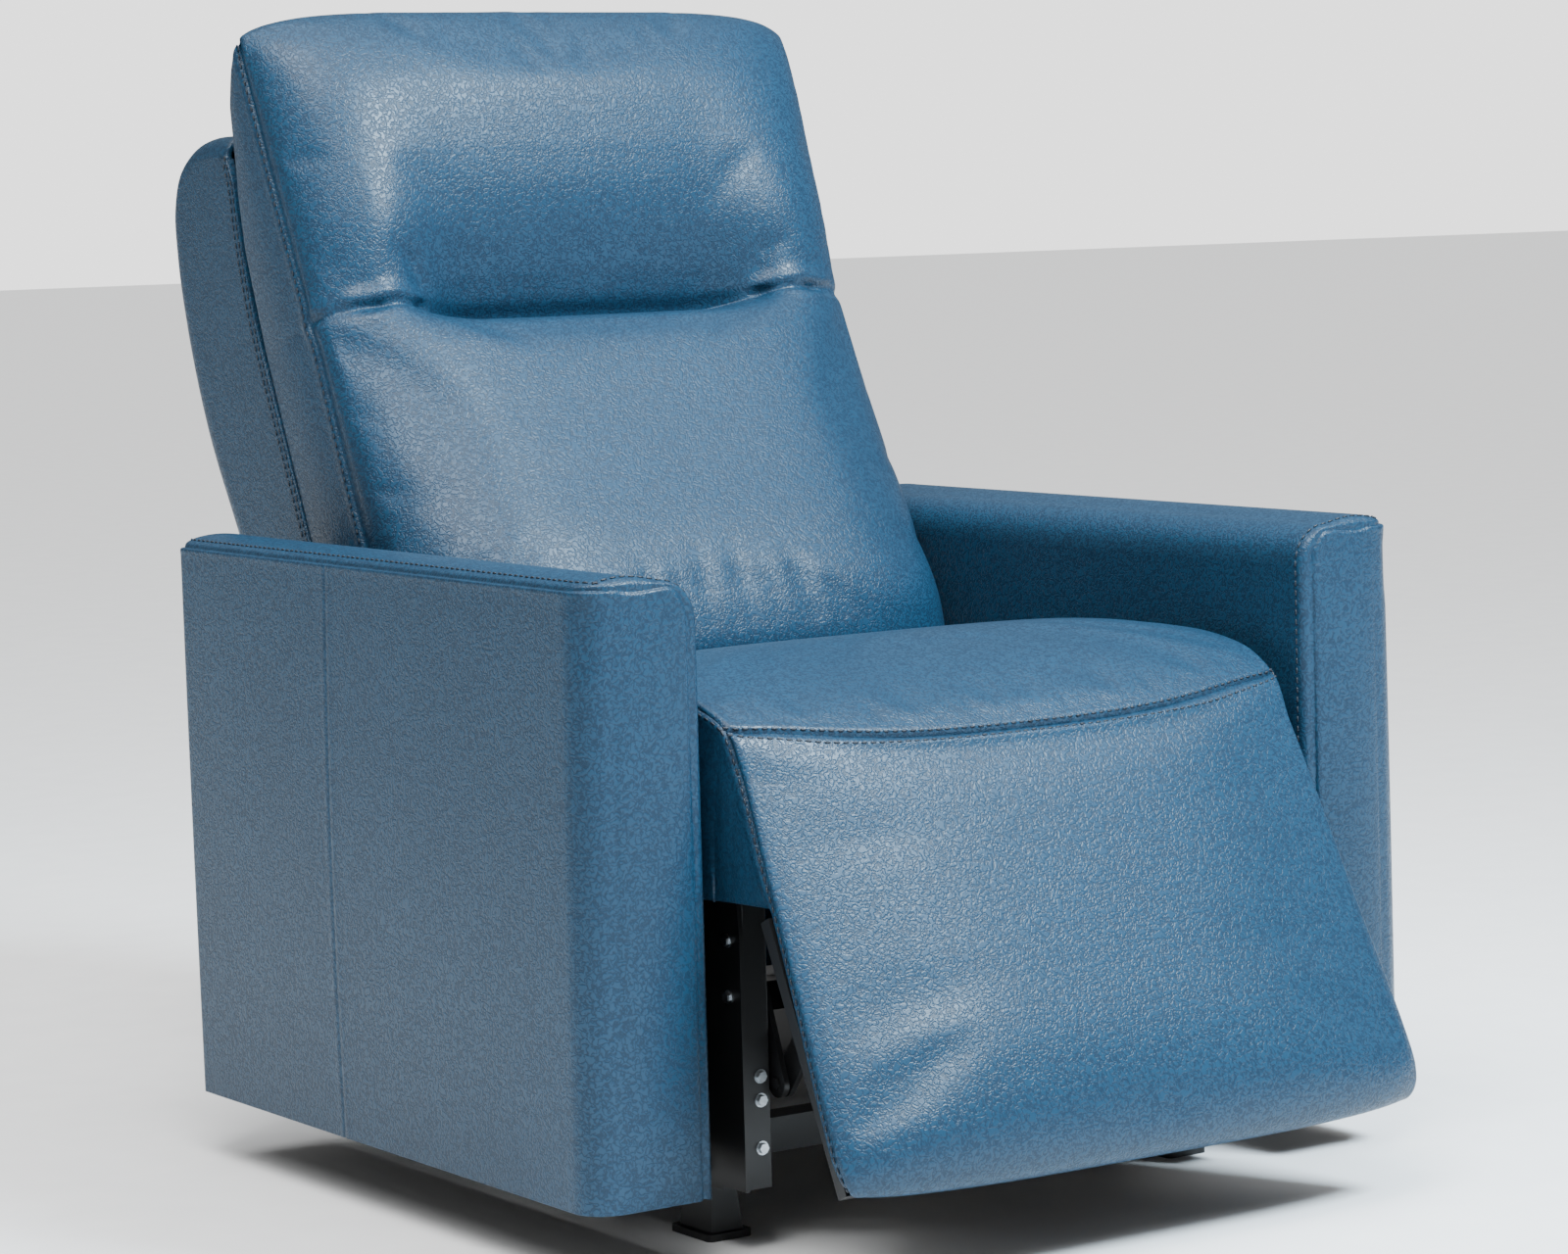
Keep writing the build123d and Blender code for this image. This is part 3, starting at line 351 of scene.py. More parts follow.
# plated zinc: bright grey metal with a faint spangle
zinc = patterned("zinc_plated_steel", ("#8d9296", "#b9bec2"),
                 size_mm=3.0, relief_mm=0.03, roughness=0.34, metallic=1.0)
# sawn and sanded birch: pale tan, with streaks drawn out along the grain
birch = patterned("birch_plywood", ("#9c7a50", "#c7a678"),
                  size_mm=4.0, relief_mm=0.15, roughness=0.62, stretch=(0.12, 1, 1))
# paper-faced board: flat black with a faint tooth
board = patterned("black_faced_board", ("#060607", "#0c0d0e"),
                  size_mm=1.5, relief_mm=0.08, roughness=0.5)
# nylon from a spark-eroded mould: black and evenly dull
plastic = patterned("black_moulded_nylon", ("#08090a", "#101214"),
                    size_mm=0.7, relief_mm=0.06, roughness=0.48)
# woven tape: dark, with a coarse plain weave
webbing = woven("polypropylene_webbing", ("#0e0f11", "#2b2e31"),
                thread_mm=2.4, relief_mm=0.5, roughness=0.7)
# lining cloth: black and matt; the real lining underneath, and painted shade in the gaps of the back
lining_and_shade_cloth = woven("black_lining_and_shade_cloth", ("#060607", "#131416"),
               thread_mm=1.6, relief_mm=0.5, roughness=0.85)
# studio paper: white and matt, with the slightest drift in tone
studio_paper = patterned("matt_studio_floor", ("#e9eaeb", "#f1f2f2"),
                         size_mm=60.0, relief_mm=0.02, roughness=0.8)
floor_mesh.materials.append(studio_paper)
print("finishes made:", len(bpy.data.materials))

# %% [markdown]
# ### Dressing the solids
# Each solid names the stuff that it is made of, so one table is enough to give them all a finish.
# The wood inside the back is the exception: it gets the black lining cloth as painted shade, so
# that the gap between the head and the shell looks dark and shows no bare wood.

# %% Finishes on the solid pieces
slot_finish = {"blue_leather": leather, "black_steel": powder_coat, "zinc_steel": zinc, "frame_wood": birch}
slot_finish.update({"black_board": board, "black_plastic": plastic, "web_fabric": webbing})
for piece in frame["record"]["subparts"]:
    shown = frame["nodes"][piece["node"]]
    shown.data.materials.clear()
    shown.data.materials.append(slot_finish[piece["material_slot"]])
# the back's frame is dressed in black cloth: painted shade in the gaps round the head
for name in ("back_upright_left", "back_upright_right", "back_top_rail", "head_panel"):
    frame["nodes"][name].data.materials[0] = lining_and_shade_cloth

# %% [markdown]
# ## Sewing
# A cover is cut from flat panels and sewn along their edges. Each panel here is a grid of points,
# spaced evenly over the middle and closer beside a seam, where the hide dips into the stitching.
# A panel's run is a smooth curve through a few measured points. Drawing the panels, rather than
# sculpting a block, keeps every seam where the photograph shows it.

# %% Curves and places along them
seam_steps = (0, 1.2, 2.6, 4.5, 7, 9.5, 13)
fine_steps, end_slack = 60, 0.001


def marks(length, step, seams=()):
    """Places along a length: even steps, with closer ones beside each seam."""
    even = np.linspace(0, length, max(2, round(length / step) + 1))
    clear = [m for m in even if all(abs(m - s) > seam_steps[-1] + 0.4 * step for s in seams)]
    near = [s + way * d for s in seams for d in seam_steps for way in (-1, 1)]
    every = clear + near + [0.0, float(length)]
    return np.array(sorted({round(float(m), 3) for m in every if -end_slack <= m <= length + end_slack}))


def through(points, at):
    """A smooth curve through points, read at numbers from 0 to the last point's."""
    p = np.array(points, float)
    gaps = np.maximum(np.linalg.norm(np.diff(p, axis=0), axis=1), 1e-6)
    reach = np.concatenate([[0.0], np.cumsum(gaps)])
    slope = np.gradient(p, reach, axis=0)
    at = np.clip(np.asarray(at, float), 0, len(p) - 1)
    i = np.minimum(at.astype(int), len(p) - 2)
    f = (at - i)[..., None]
    h = gaps[i][..., None]
    start = (2 * f ** 3 - 3 * f ** 2 + 1) * p[i] + (f ** 3 - 2 * f ** 2 + f) * h * slope[i]
    return start + (3 * f ** 2 - 2 * f ** 3) * p[i + 1] + (f ** 3 - f ** 2) * h * slope[i + 1]


def reach_along(points):
    """Curve numbers close together, and how far the curve has run at each."""
    fine = np.linspace(0, len(points) - 1, fine_steps * len(points))
    steps = np.linalg.norm(np.diff(through(points, fine), axis=0), axis=1)
    return fine, np.concatenate([[0.0], np.cumsum(steps)])


def knots_at(points, places):
    """The curve numbers at which a curve has run these millimetres."""
    fine, reach = reach_along(points)
    return np.interp(places, reach, fine)


def run_length(points):
    """How long the curve through points is."""
    return float(reach_along(points)[1][-1])


print("points beside a seam at", seam_steps, "mm")

# %% [markdown]
# Panels that share an edge share its points, so welding the points sews them together. Where a
# cover is still open, as under the arms, triangles close it, and the rim is kept crisp so that the
# rounding that comes later doesn't pull it in.

# %% Sewing panels together
weld_mm = 0.3


def fill_holes(work, slot):
    """Closes the open rims of a mesh with triangles, crisp at the rim."""
    crease = work.edges.layers.float.get("crease_edge") or work.edges.layers.float.new("crease_edge")
    rims = [e for e in work.edges if e.is_boundary]
    filled = bmesh.ops.holes_fill(work, edges=rims, sides=0)["faces"]
    for face in filled:
        face.material_index = slot
        for rim in face.edges:
            rim.smooth = False
            rim[crease] = 1.0
    bmesh.ops.triangulate(work, faces=filled)
    print("open edges closed:", len(rims))


def mend(mesh, weld=0.0, hole_slot=None):
    """Welds points that lie together, closes holes if asked to, and turns the faces outwards."""
    work = bmesh.new()
    work.from_mesh(mesh)
    if weld:
        bmesh.ops.remove_doubles(work, verts=work.verts, dist=weld * MM)
    if hole_slot is not None:
        fill_holes(work, hole_slot)
    bmesh.ops.recalc_face_normals(work, faces=work.faces)
    work.to_mesh(mesh)
    work.free()


def sew(name, panels, finishes, close_holes=False):
    """One cover from grids of points in millimetres, welded where their edges meet."""
    points, faces, slots = [], [], []
    count = 0
    for grid, slot in panels:
        rows, columns = grid.shape[:2]
        points.append(grid.reshape(-1, 3))
        index = count + np.arange(rows * columns).reshape(rows, columns)
        corners = (index[:-1, :-1], index[:-1, 1:], index[1:, 1:], index[1:, :-1])
        quads = np.stack(corners, -1).reshape(-1, 4)
        faces.extend(quads.tolist())
        slots.extend([slot] * len(quads))
        count += rows * columns
    mesh = bpy.data.meshes.new(name)
    mesh.from_pydata(to_row(np.concatenate(points)).tolist(), [], faces)
    mesh.polygons.foreach_set("material_index", slots)
    for finish in finishes:
        mesh.materials.append(finish)
    mend(mesh, weld_mm, len(finishes) - 1 if close_holes else None)
    mesh.polygons.foreach_set("use_smooth", [True] * len(mesh.polygons))
    cover = bpy.data.objects.new(name, mesh)
    bpy.context.scene.collection.objects.link(cover)
    return cover


def between(near, far, share):
    """A grid of points that runs from one line of points to another."""
    return near[:, None] * (1 - share[None, :, None]) + far[:, None] * share[None, :, None]


print("points closer than", weld_mm, "mm are welded")

# %% [markdown]
# A seam pulls the hide into a narrow groove, and the foam pushes it up a little on both sides. So
# a seam moves the points near its line along their normals, by a smooth rule of their distance. A
# subdivision surface then rounds what is left of the facets.

# %% Seam grooves
def vertex_rows(mesh, what):
    """A vertex value of a mesh, as rows of three numbers."""
    flat = np.empty(len(mesh.vertices) * 3, np.float64)
    mesh.vertices.foreach_get(what, flat)
    return flat.reshape(-1, 3)


def search_tree(spots):
    """A tree that finds the nearest of many points quickly."""
    tree = KDTree(len(spots))
    for i, spot in enumerate(spots):
        tree.insert(spot, i)
    tree.balance()
    return tree


def distances(points, spots):
    """How far each point is from the nearest spot, in millimetres."""
    tree = search_tree(spots)
    return np.array([tree.find(point)[2] for point in points]) / MM


def dense(line, step=1.5):
    """A line of points with more points between them."""
    line = np.asarray(line, float)
    reach = np.concatenate([[0.0], np.cumsum(np.linalg.norm(np.diff(line, axis=0), axis=1))])
    places = np.linspace(0, reach[-1], max(2, int(reach[-1] / step)))
    return np.stack([np.interp(places, reach, line[:, k]) for k in range(3)], -1)


def press(cover, lines, depth, width, rise=0.0):
    """Sinks a seam's groove into a cover, with a slight rise three widths to both sides of it."""
    mesh = cover.data
    points = vertex_rows(mesh, "co")
    normals = vertex_rows(mesh, "normal")
    far = distances(points, to_row(np.concatenate([dense(line) for line in lines])))
    move = -depth * np.exp(-(far / width) ** 2) + rise * np.exp(-((far - 3 * width) / (1.6 * width)) ** 2)
    mesh.vertices.foreach_set("co", (points + normals * (move * MM)[:, None]).ravel())
    mesh.update()


def soften(cover, levels=1):
    """Rounds a cover's facets with a subdivision surface."""
    smooth = cover.modifiers.new("rounded_facets", "SUBSURF")
    smooth.levels = levels
    smooth.render_levels = levels


deep_seam = {"depth": 3.4, "width": 2.2, "rise": 1.0}
print("a deep seam in millimetres:", deep_seam)

# %% [markdown]
# ## Filling
# A sewn cover only gets its shape when the foam pushes it out. That push is simulated: a crowned
# panel becomes stiff cloth, a touch larger than its pattern, pinned along its seams and blown up
# by an even pressure for a few steps. It swells between the seams and puckers a little beside
# them, as hide does. The move of each point is capped, and then the cloth is taken off again.

# %% Filling helper
pinned_mm, freed_mm, same_point_mm, fill_step = 5.0, 25.0, 0.4, 3.0


def eased(share):
    """A share from 0 to 1, with a soft start and a soft end."""
    share = np.clip(share, 0, 1)
    return share * share * (3 - 2 * share)


def swell(cover, panel, seams, looseness, pressure=2.5, cap=5.0, steps=14):
    """Lets pressure fill out one panel of a cover, pinned at its seams."""
    mesh = cover.data
    points = vertex_rows(mesh, "co")
    elsewhere = distances(points, to_row(panel.reshape(-1, 3))) > same_point_mm
    from_seam = distances(points, to_row(np.concatenate([dense(line, fill_step) for line in seams])))
    hold = np.where(elsewhere, 1.0, 1 - eased((from_seam - pinned_mm) / freed_mm))
    pins = cover.vertex_groups.new(name="sewn_down")
    for i in np.flatnonzero(hold):
        pins.add([int(i)], float(hold[i]), "REPLACE")
    cloth = cover.modifiers.new("filling", "CLOTH")
    hide = {"quality": 4, "mass": 0.3, "tension_stiffness": 15, "compression_stiffness": 15}
    hide.update({"shear_stiffness": 5, "bending_stiffness": 4, "shrink_min": -looseness})
    hide.update({"use_pressure": True, "uniform_pressure_force": pressure, "vertex_group_mass": pins.name})
    for name, value in hide.items():
        setattr(cloth.settings, name, value)
    cloth.settings.effector_weights.gravity = 0
    cloth.collision_settings.use_collision = False
    for step in range(1, steps + 1):
        bpy.context.scene.frame_set(step)
    view = bpy.context.evaluated_depsgraph_get()
    move = vertex_rows(cover.evaluated_get(view).data, "co") - points
    cover.modifiers.remove(cloth)
    cover.vertex_groups.remove(pins)
    bpy.context.scene.frame_set(1)
    reach = np.maximum(np.linalg.norm(move, axis=1) / MM, 1e-6)
    move *= (cap * np.tanh(reach / cap) / reach)[:, None]
    mesh.vertices.foreach_set("co", (points + move).ravel())
    mesh.update()
    print(cover.name, "filled out by about", round(float(np.median(reach[~elsewhere])), 1), "mm")


# %% [markdown]
# ## Stitches
# A topstitch is a row of short thread loops, each a few millimetres long and sunk at both ends.
# Modelling each one by hand would be hopeless, and a texture would not stand up in the light.
# Geometry Nodes walk along a line, drop a small bead of thread at every step and turn it along
# the line. The tree has named inputs, so one tree serves every seam.

# %% The stitching tree
def new_tree(name, lines, sizes, stuff, result):
    """A node tree with named inputs for its lines, sizes and material."""
    tree = bpy.data.node_groups.new(name, "GeometryNodeTree")
    tree.interface.new_socket(lines, in_out="INPUT", socket_type="NodeSocketGeometry")
    for size in sizes:
        tree.interface.new_socket(size, in_out="INPUT", socket_type="NodeSocketFloat")
    tree.interface.new_socket(stuff, in_out="INPUT", socket_type="NodeSocketMaterial")
    tree.interface.new_socket(result, in_out="OUTPUT", socket_type="NodeSocketGeometry")
    return tree, node(tree, "NodeGroupInput").outputs


def end_tree(tree, instances, stuff, result):
    """Makes a tree's instances real, gives them their material and hands them out."""
    real = node(tree, "GeometryNodeRealizeInstances", {}, {"Geometry": instances})
    dressed = node(tree, "GeometryNodeSetMaterial", {},
                   {"Geometry": real.outputs["Geometry"], "Material": stuff})
    node(tree, "NodeGroupOutput", {}, {result: dressed.outputs["Geometry"]})


def stitch_tree():
    """Beads of thread at even steps along a line."""
    sizes = ("Stitch pitch", "Stitch length", "Thread width")
    tree, given = new_tree("topstitch_row", "Seam line", sizes, "Thread", "Stitches")
    line = node(tree, "GeometryNodeMeshToCurve", {}, {"Mesh": given["Seam line"]})
    steps = node(tree, "GeometryNodeResampleCurve", {"mode": "LENGTH"},
                 {"Curve": line.outputs["Curve"], "Length": given["Stitch pitch"]})
    bead = node(tree, "GeometryNodeMeshUVSphere", {"Segments": 6, "Rings": 4, "Radius": 0.5})
    along = node(tree, "GeometryNodeInputTangent")
    turned = node(tree, "FunctionNodeAlignRotationToVector", {"axis": "X"},
                  {"Vector": along.outputs["Tangent"]})
    size = node(tree, "ShaderNodeCombineXYZ", {},
                {"X": given["Stitch length"], "Y": given["Thread width"], "Z": given["Thread width"]})
    row = node(tree, "GeometryNodeInstanceOnPoints", {},
               {"Points": steps.outputs["Curve"], "Instance": bead.outputs["Mesh"],
                "Rotation": turned.outputs["Rotation"], "Scale": size.outputs["Vector"]})
    end_tree(tree, row.outputs["Instances"], given["Thread"], "Stitches")
    return tree


topstitch = stitch_tree()
# the real thread is 0.8 mm thick; it is drawn thicker so that the row shows from a step away
topstitch_size = {"Stitch pitch": 0.0085, "Stitch length": 0.0064, "Thread width": 0.002, "Thread": thread}
print("stitching nodes:", len(topstitch.nodes))

# %% [markdown]
# The tree's result is turned into a plain mesh, because the export drops what a modifier only
# promises. Before that, each row is laid on the finished cover: every point of the line moves along
# the cover's normal until the thread lies on the hide.

# %% Rows of stitches
thread_lift, lay_step, nearest_points = 0.0004, 3.0, 4


def grown(name, lines, tree, values):
    """A plain mesh from a node tree that works along lines in metres."""
    points, edges = [], []
    for line in lines:
        edges += [(len(points) + i, len(points) + i + 1) for i in range(len(line) - 1)]
        points += [tuple(p) for p in line]
    start = bpy.data.meshes.new(name + "_line")
    start.from_pydata(points, edges, [])
    made = bpy.data.objects.new(name, start)
    modifier = made.modifiers.new("tree", "NODES")
    modifier.node_group = tree
    for socket in tree.interface.items_tree:
        if socket.in_out == "INPUT" and socket.name in values:
            modifier[socket.identifier] = values[socket.name]
    bpy.context.scene.collection.objects.link(made)
    view = bpy.context.evaluated_depsgraph_get()
    made_mesh = bpy.data.meshes.new_from_object(made.evaluated_get(view), depsgraph=view)
    made.modifiers.clear()
    made.data = made_mesh
    made_mesh.polygons.foreach_set("use_smooth", [True] * len(made_mesh.polygons))
    return made


def laid_on(cover, line):
    """A line of points in millimetres, moved on to a cover's finished surface, in metres."""
    points = vertex_rows(cover.data, "co")
    normals = vertex_rows(cover.data, "normal")
    tree = search_tree(points)
    laid = []
    for spot in to_row(dense(line, lay_step)):
        near = [found[1] for found in tree.find_n(spot, nearest_points)]
        normal = normals[near].mean(0)
        laid.append(spot - normal * ((spot - points[near].mean(0)) @ normal - thread_lift))
    return laid


def stitch(name, lines, cover):
    """Rows of stitches laid on a cover's finished surface."""
    rows = grown(name, [laid_on(cover, line) for line in lines], topstitch, topstitch_size)
    print(name, "faces:", len(rows.data.polygons))
    return rows


# %% [markdown]
# ## The seat and the footrest
# One padded run of leather comes from under the back cushion, rolls over the front of the seat
# and hangs down the footrest. It is a crowned panel: its middle stands proud of its two side
# seams. So it is drawn by two curves seen from the side, one down the middle and one down the
# seams, and a rule that says how the crown rises between them. The front seam dips in the middle,
# so the rows of the panel bend to follow it.

# %% The run of the seat and footrest
row_step, column_step = 7.0, 7.5


def pad(*pairs):
    """Points on the hanging footrest."""
    return [on_footrest(u, v) for u, v in pairs]


seam_knot = 7
middle_run = [(505, 426), (430, 441), (340, 457), (227, 475), (156, 481), (92, 478), (36, 461), (-19, 419)]
middle_run += pad((60, 42.5), (112, 46), (232, 55), (324, 61), (368, 59))
middle_run += pad((391, 47), (401, 32), (402, 21), (394, 15.4))
side_run = [(505, 414), (430, 429), (340, 445), (227, 461), (156, 465), (92, 462), (43, 454), (13, 441)]
side_run += pad((40, 23.7), (112, 24), (232, 24.5), (320, 25), (362, 24.5))
side_run += pad((378, 23), (385, 20), (387, 17.5), (384, 15.4))
run_half = np.array([296] * 5 + [295, 293, 289, 287, 291, 296, 301, 302, 299, 295, 291, 289], float)
# how the front seam rises from its middle to its sides, in curve numbers, and turns down at its ends
seam_rise, seam_bend, seam_turn, seam_turn_bend = 0.36, 2.6, 0.9, 9


def crown(share, fullness=3.4):
    """How much of the crown stands at this share of the half width."""
    return np.sqrt(np.clip(1 - np.abs(share) ** fullness, 0, 1))


def chaise_point(knot, share):
    """A point of the crowned panel."""
    rise = crown(share)[..., None]
    yz = through(side_run, knot) * (1 - rise) + through(middle_run, knot) * rise
    x = share * np.interp(knot, np.arange(len(run_half)), run_half)
    return np.concatenate([x[..., None], yz], -1)


def place_of(run, knot):
    """How many millimetres a curve has run at one of its points."""
    whole = np.arange(run_length(run))
    return float(np.interp(knot, knots_at(run, whole), whole))


run_mm, seam_mm = run_length(middle_run), place_of(middle_run, seam_knot)
row_places = marks(run_mm, row_step, (seam_mm,))
seam_row = int(np.argmin(np.abs(row_places - seam_mm)))
row_knots = knots_at(middle_run, row_places)
across_mm = 2 * run_half[0]
column_share = marks(across_mm, column_step, (0, across_mm)) / run_half[0] - 1
out = np.abs(column_share)
seam_at = seam_knot - seam_rise * out ** seam_bend * (1 - seam_turn * out ** seam_turn_bend)
last_knot = len(middle_run) - 1
over = np.clip(row_knots[:, None] / seam_knot, 0, 1) * seam_at
under = np.clip((row_knots[:, None] - seam_knot) / (last_knot - seam_knot), 0, 1) * (last_knot - seam_at)
chaise_grid = chaise_point(over + under, np.broadcast_to(column_share, over.shape))
print("seat and footrest run", round(run_mm), "mm, rows", len(row_places), "front seam at row", seam_row)

# %% [markdown]
# Side panels close the seat down to its rail, and a narrow strip closes the footrest back to its
# board. Between them, beside the hinge, they are one soft gusset. A black lining closes the cover
# underneath, as on the real chair, where nobody sees it.

# %% Side panels and lining
seat_floor, skirt_low, skirt_front = 351.0, 296.0, 30.0
board_face, board_start, board_last, hinge_back, pad_lining_start = 15.2, 150.0, 392.0, 60.0, 30.0
edge_places = [0, 40, 112, 232, 320, 362, 376, 381, 383, 384]
# curve numbers between which the lining leaves the seat's floor, and the hem draws in
lining_leaves, lining_leaves_over = 8.6, 0.9
hem_knots, hem_insets = (8.2, 9.4), (0.6, 7.0)
hide_mm, strip_step, bulge_run, bulge_most = 1.1, 9.0, 40.0, 3.0
edge_knot = (over + under)[:, 0]
edge = chaise_grid[:, 0, 1:]
edge_u = np.interp(edge_knot, range(seam_knot, last_knot + 1), edge_places)
share_down = np.clip(edge_u / board_start, 0, 1)[:, None]
on_board = np.stack(on_footrest(np.clip(edge_u, board_start, board_last), board_face), -1)
gusset_foot = np.array([skirt_front, skirt_low]) * (1 - share_down) + on_board * share_down
under_seat = np.stack([np.clip(edge[:, 0], skirt_front, None), np.full(len(edge), skirt_low)], -1)
skirt_hem = np.where((edge_knot < seam_knot)[:, None], under_seat, gusset_foot)
seat_part = eased((lining_leaves - edge_knot) / lining_leaves_over)[:, None]
seat_lining = np.stack([np.clip(edge[:, 0], hinge_back, None), np.full(len(edge), seat_floor)], -1)
pad_lining = np.stack(on_footrest(np.clip(edge_u, pad_lining_start, board_last), board_face), -1)
lining_hem = seat_lining * seat_part + pad_lining * (1 - seat_part)
hem_inset = np.interp(edge_knot, hem_knots, hem_insets)[:, None]
strip_deep = np.linalg.norm(skirt_hem - edge, axis=1)
drop_mm = float(strip_deep.max())
drop_share = marks(drop_mm, strip_step, (0,)) / drop_mm


def side_panel(way):
    """The strip from the crowned panel's edge down to the hem and back up inside to the lining."""
    top = chaise_grid[:, 0 if way < 0 else -1]
    low = np.concatenate([top[:, :1] - way * hem_inset, skirt_hem], -1)
    strip = between(top, low, drop_share)
    bulge = np.clip(strip_deep[:, None] / bulge_run, 0, bulge_most)
    strip[..., 0] += way * np.sin(math.pi * drop_share)[None] * bulge
    turned = low - np.array([way * hide_mm, 0, 0])
    inside = np.concatenate([turned[:, :1], lining_hem], -1)
    return np.concatenate([strip, turned[:, None], inside[:, None]], 1)


side_panels = {way: side_panel(way) for way in (-1, 1)}
print("side panels up to", round(drop_mm), "mm deep")

# %% [markdown]
# The run is sewn as two covers that meet at the front seam, one for the seat and one for the
# footrest. Each is filled out, its seams are pressed in, and its open ends are closed with lining.

# %% The two covers
def chaise_cover(name, first, last):
    """Part of the run as a cover: the crowned panel, two side panels and a lining below."""
    rows = slice(first, last + 1)
    panels = [(chaise_grid[rows], 0)]
    panels += [(side_panels[way][rows], 0) for way in (-1, 1)]
    near, far = side_panels[-1][rows, -1], side_panels[1][rows, -1]
    panels.append((between(near, far, (column_share + 1) / 2), 1))
    return sew(name, panels, [leather, lining_and_shade_cloth])


seat_cover = chaise_cover("seat_cover", 0, seam_row)
footrest_cover = chaise_cover("footrest_cover", seam_row, len(row_places) - 1)
front_seam = chaise_grid[seam_row]
side_seams = [chaise_grid[:, 0], chaise_grid[:, -1]]
swell(seat_cover, chaise_grid[:seam_row + 1], [front_seam, chaise_grid[0]] + side_seams, looseness=0.003)
swell(footrest_cover, chaise_grid[seam_row:], [front_seam, chaise_grid[-1]] + side_seams, looseness=0.0)
for cover in (seat_cover, footrest_cover):
    press(cover, [front_seam] + side_seams, **deep_seam)
    mend(cover.data, hole_slot=1)
    soften(cover)

# %% [markdown]
# A row of stitches runs on each side of the front seam and down the side seams. Two points mark
# the ends of the stretch beside the hinge, where the hide bends when the footrest lifts.

# %% Seat and footrest stitching
bend_from, bend_to, bend_z = 90, -15, 420
hinge_start = tuple(to_row((0, bend_from, bend_z)))
hinge_end = tuple(to_row((0, bend_to, bend_z)))
beside_seam, clear_of_seam = 3, 2
seat_rows = [chaise_grid[seam_row - beside_seam, clear_of_seam:-clear_of_seam]]
pad_rows = [chaise_grid[seam_row + beside_seam, clear_of_seam:-clear_of_seam]]
for way in (-1, 1):
    pad_rows.append(side_panels[way][seam_row + clear_of_seam:, beside_seam])
    seat_rows.append(side_panels[way][:seam_row - clear_of_seam, beside_seam])
seat_stitches = stitch("seat_stitches", seat_rows, seat_cover)
footrest_stitches = stitch("footrest_stitches", pad_rows, footrest_cover)
for cover in (seat_cover, seat_stitches, footrest_cover, footrest_stitches):
    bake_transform(cover)


def stands_for(cover, solids):
    """Hides the soft solids that a padded cover stands for, and prints how many faces it has."""
    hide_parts(*solids)
    print(cover.name, "faces:", len(cover.data.polygons))


stands_for(seat_cover, ["seat_cushion"])
stands_for(footrest_cover, ["footrest_pad"])

# %% [markdown]
# ## The back and head cushions
# The back has a crowned lower cushion and a head cushion above it, parted by a deep tuck. Both
# wear one cover with a boxing strip down each side. The front panel is drawn as the seat was, by
# a middle curve and a side curve. At the tuck the middle curve dives in while the side curve goes
# straight past, which is why the tuck is deep in the middle and only a seam at the ends.

# %% The back's front panel
tuck_knot, tuck_t = 7, 391.0
back_middle = [(6, 112), (40, 122), (112, 112), (205, 90), (290, 71), (345, 61), (376, 57), (tuck_t, 54)]
back_middle += [(403, 55), (424, 59), (464, 68), (540, 71), (615, 70), (662, 58), (690, 36), (698, 12)]
back_side = [(30, 0), (64, 0), (128, 1), (208, 1), (290, 1), (345, 1), (377, 0), (tuck_t, -3)]
back_side += [(404, 0), (424, 1), (464, 2), (540, 4), (605, 7), (645, 9), (664, 11), (669, 12)]
tuck_dip = [[d] for d in (0, 0, 0, 0, 0, 1, 13, 64, 51, 39, 25, 10, 2, 0, 0, 0)]
back_half = np.array([293] * 8 + [294, 295, 297, 300, 303, 305, 305, 304], float)
tuck_deep, tuck_shallow, tuck_end_share, back_fullness = 0.42, 0.8, 0.08, 5.4


def back_panel_point(knot, share):
    """(x, t, n) of the back's front panel, with the tuck let in between its two ends."""
    rise = crown(share, back_fullness)[..., None]
    tn = through(back_side, knot) * (1 - rise) + through(back_middle, knot) * rise
    ends = eased((tuck_shallow - np.abs(share)) / (tuck_shallow - tuck_deep))
    depth = tuck_end_share + (1 - tuck_end_share) * ends
    tn[..., 1] -= through(tuck_dip, knot)[..., 0] * depth * rise[..., 0]
    x = share * np.interp(knot, np.arange(len(back_half)), back_half)
    return np.concatenate([x[..., None], tn], -1)


def lean_back(grid):
    """Moves (x, t, n) on to the leaning back."""
    y, z = on_back(grid[..., 1], grid[..., 2])
    return np.stack([grid[..., 0], y, z], -1)


back_mm, tuck_mm = run_length(back_middle), place_of(back_middle, tuck_knot)
back_places = marks(back_mm, row_step, (tuck_mm,))
back_knots = knots_at(back_middle, back_places)
back_share = marks(2 * back_half[0], column_step, (0, 2 * back_half[0])) / back_half[0] - 1
back_share[0], back_share[-1] = -1, 1
back_tn = back_panel_point(*np.meshgrid(back_knots, back_share, indexing="ij"))
back_front = lean_back(back_tn)
print("back run", round(back_mm), "mm, rows", len(back_places))

# %% [markdown]
# The cushion's rear follows the front panel's rows, so the boxing between them is a plain strip.
# The rear is lining up to the tuck and leather above it, where the head can be seen from behind.
# Near its sides the rear reaches back towards the shell's edge, which narrows the gap there.

# %% The back's rear panel and boxing
back_rear = [(30, -84), (208, -84), (319, -86), (tuck_t, -86), (429, -80)]
back_rear += [(551, -62), (625, -34), (655, -12), (669, 12)]
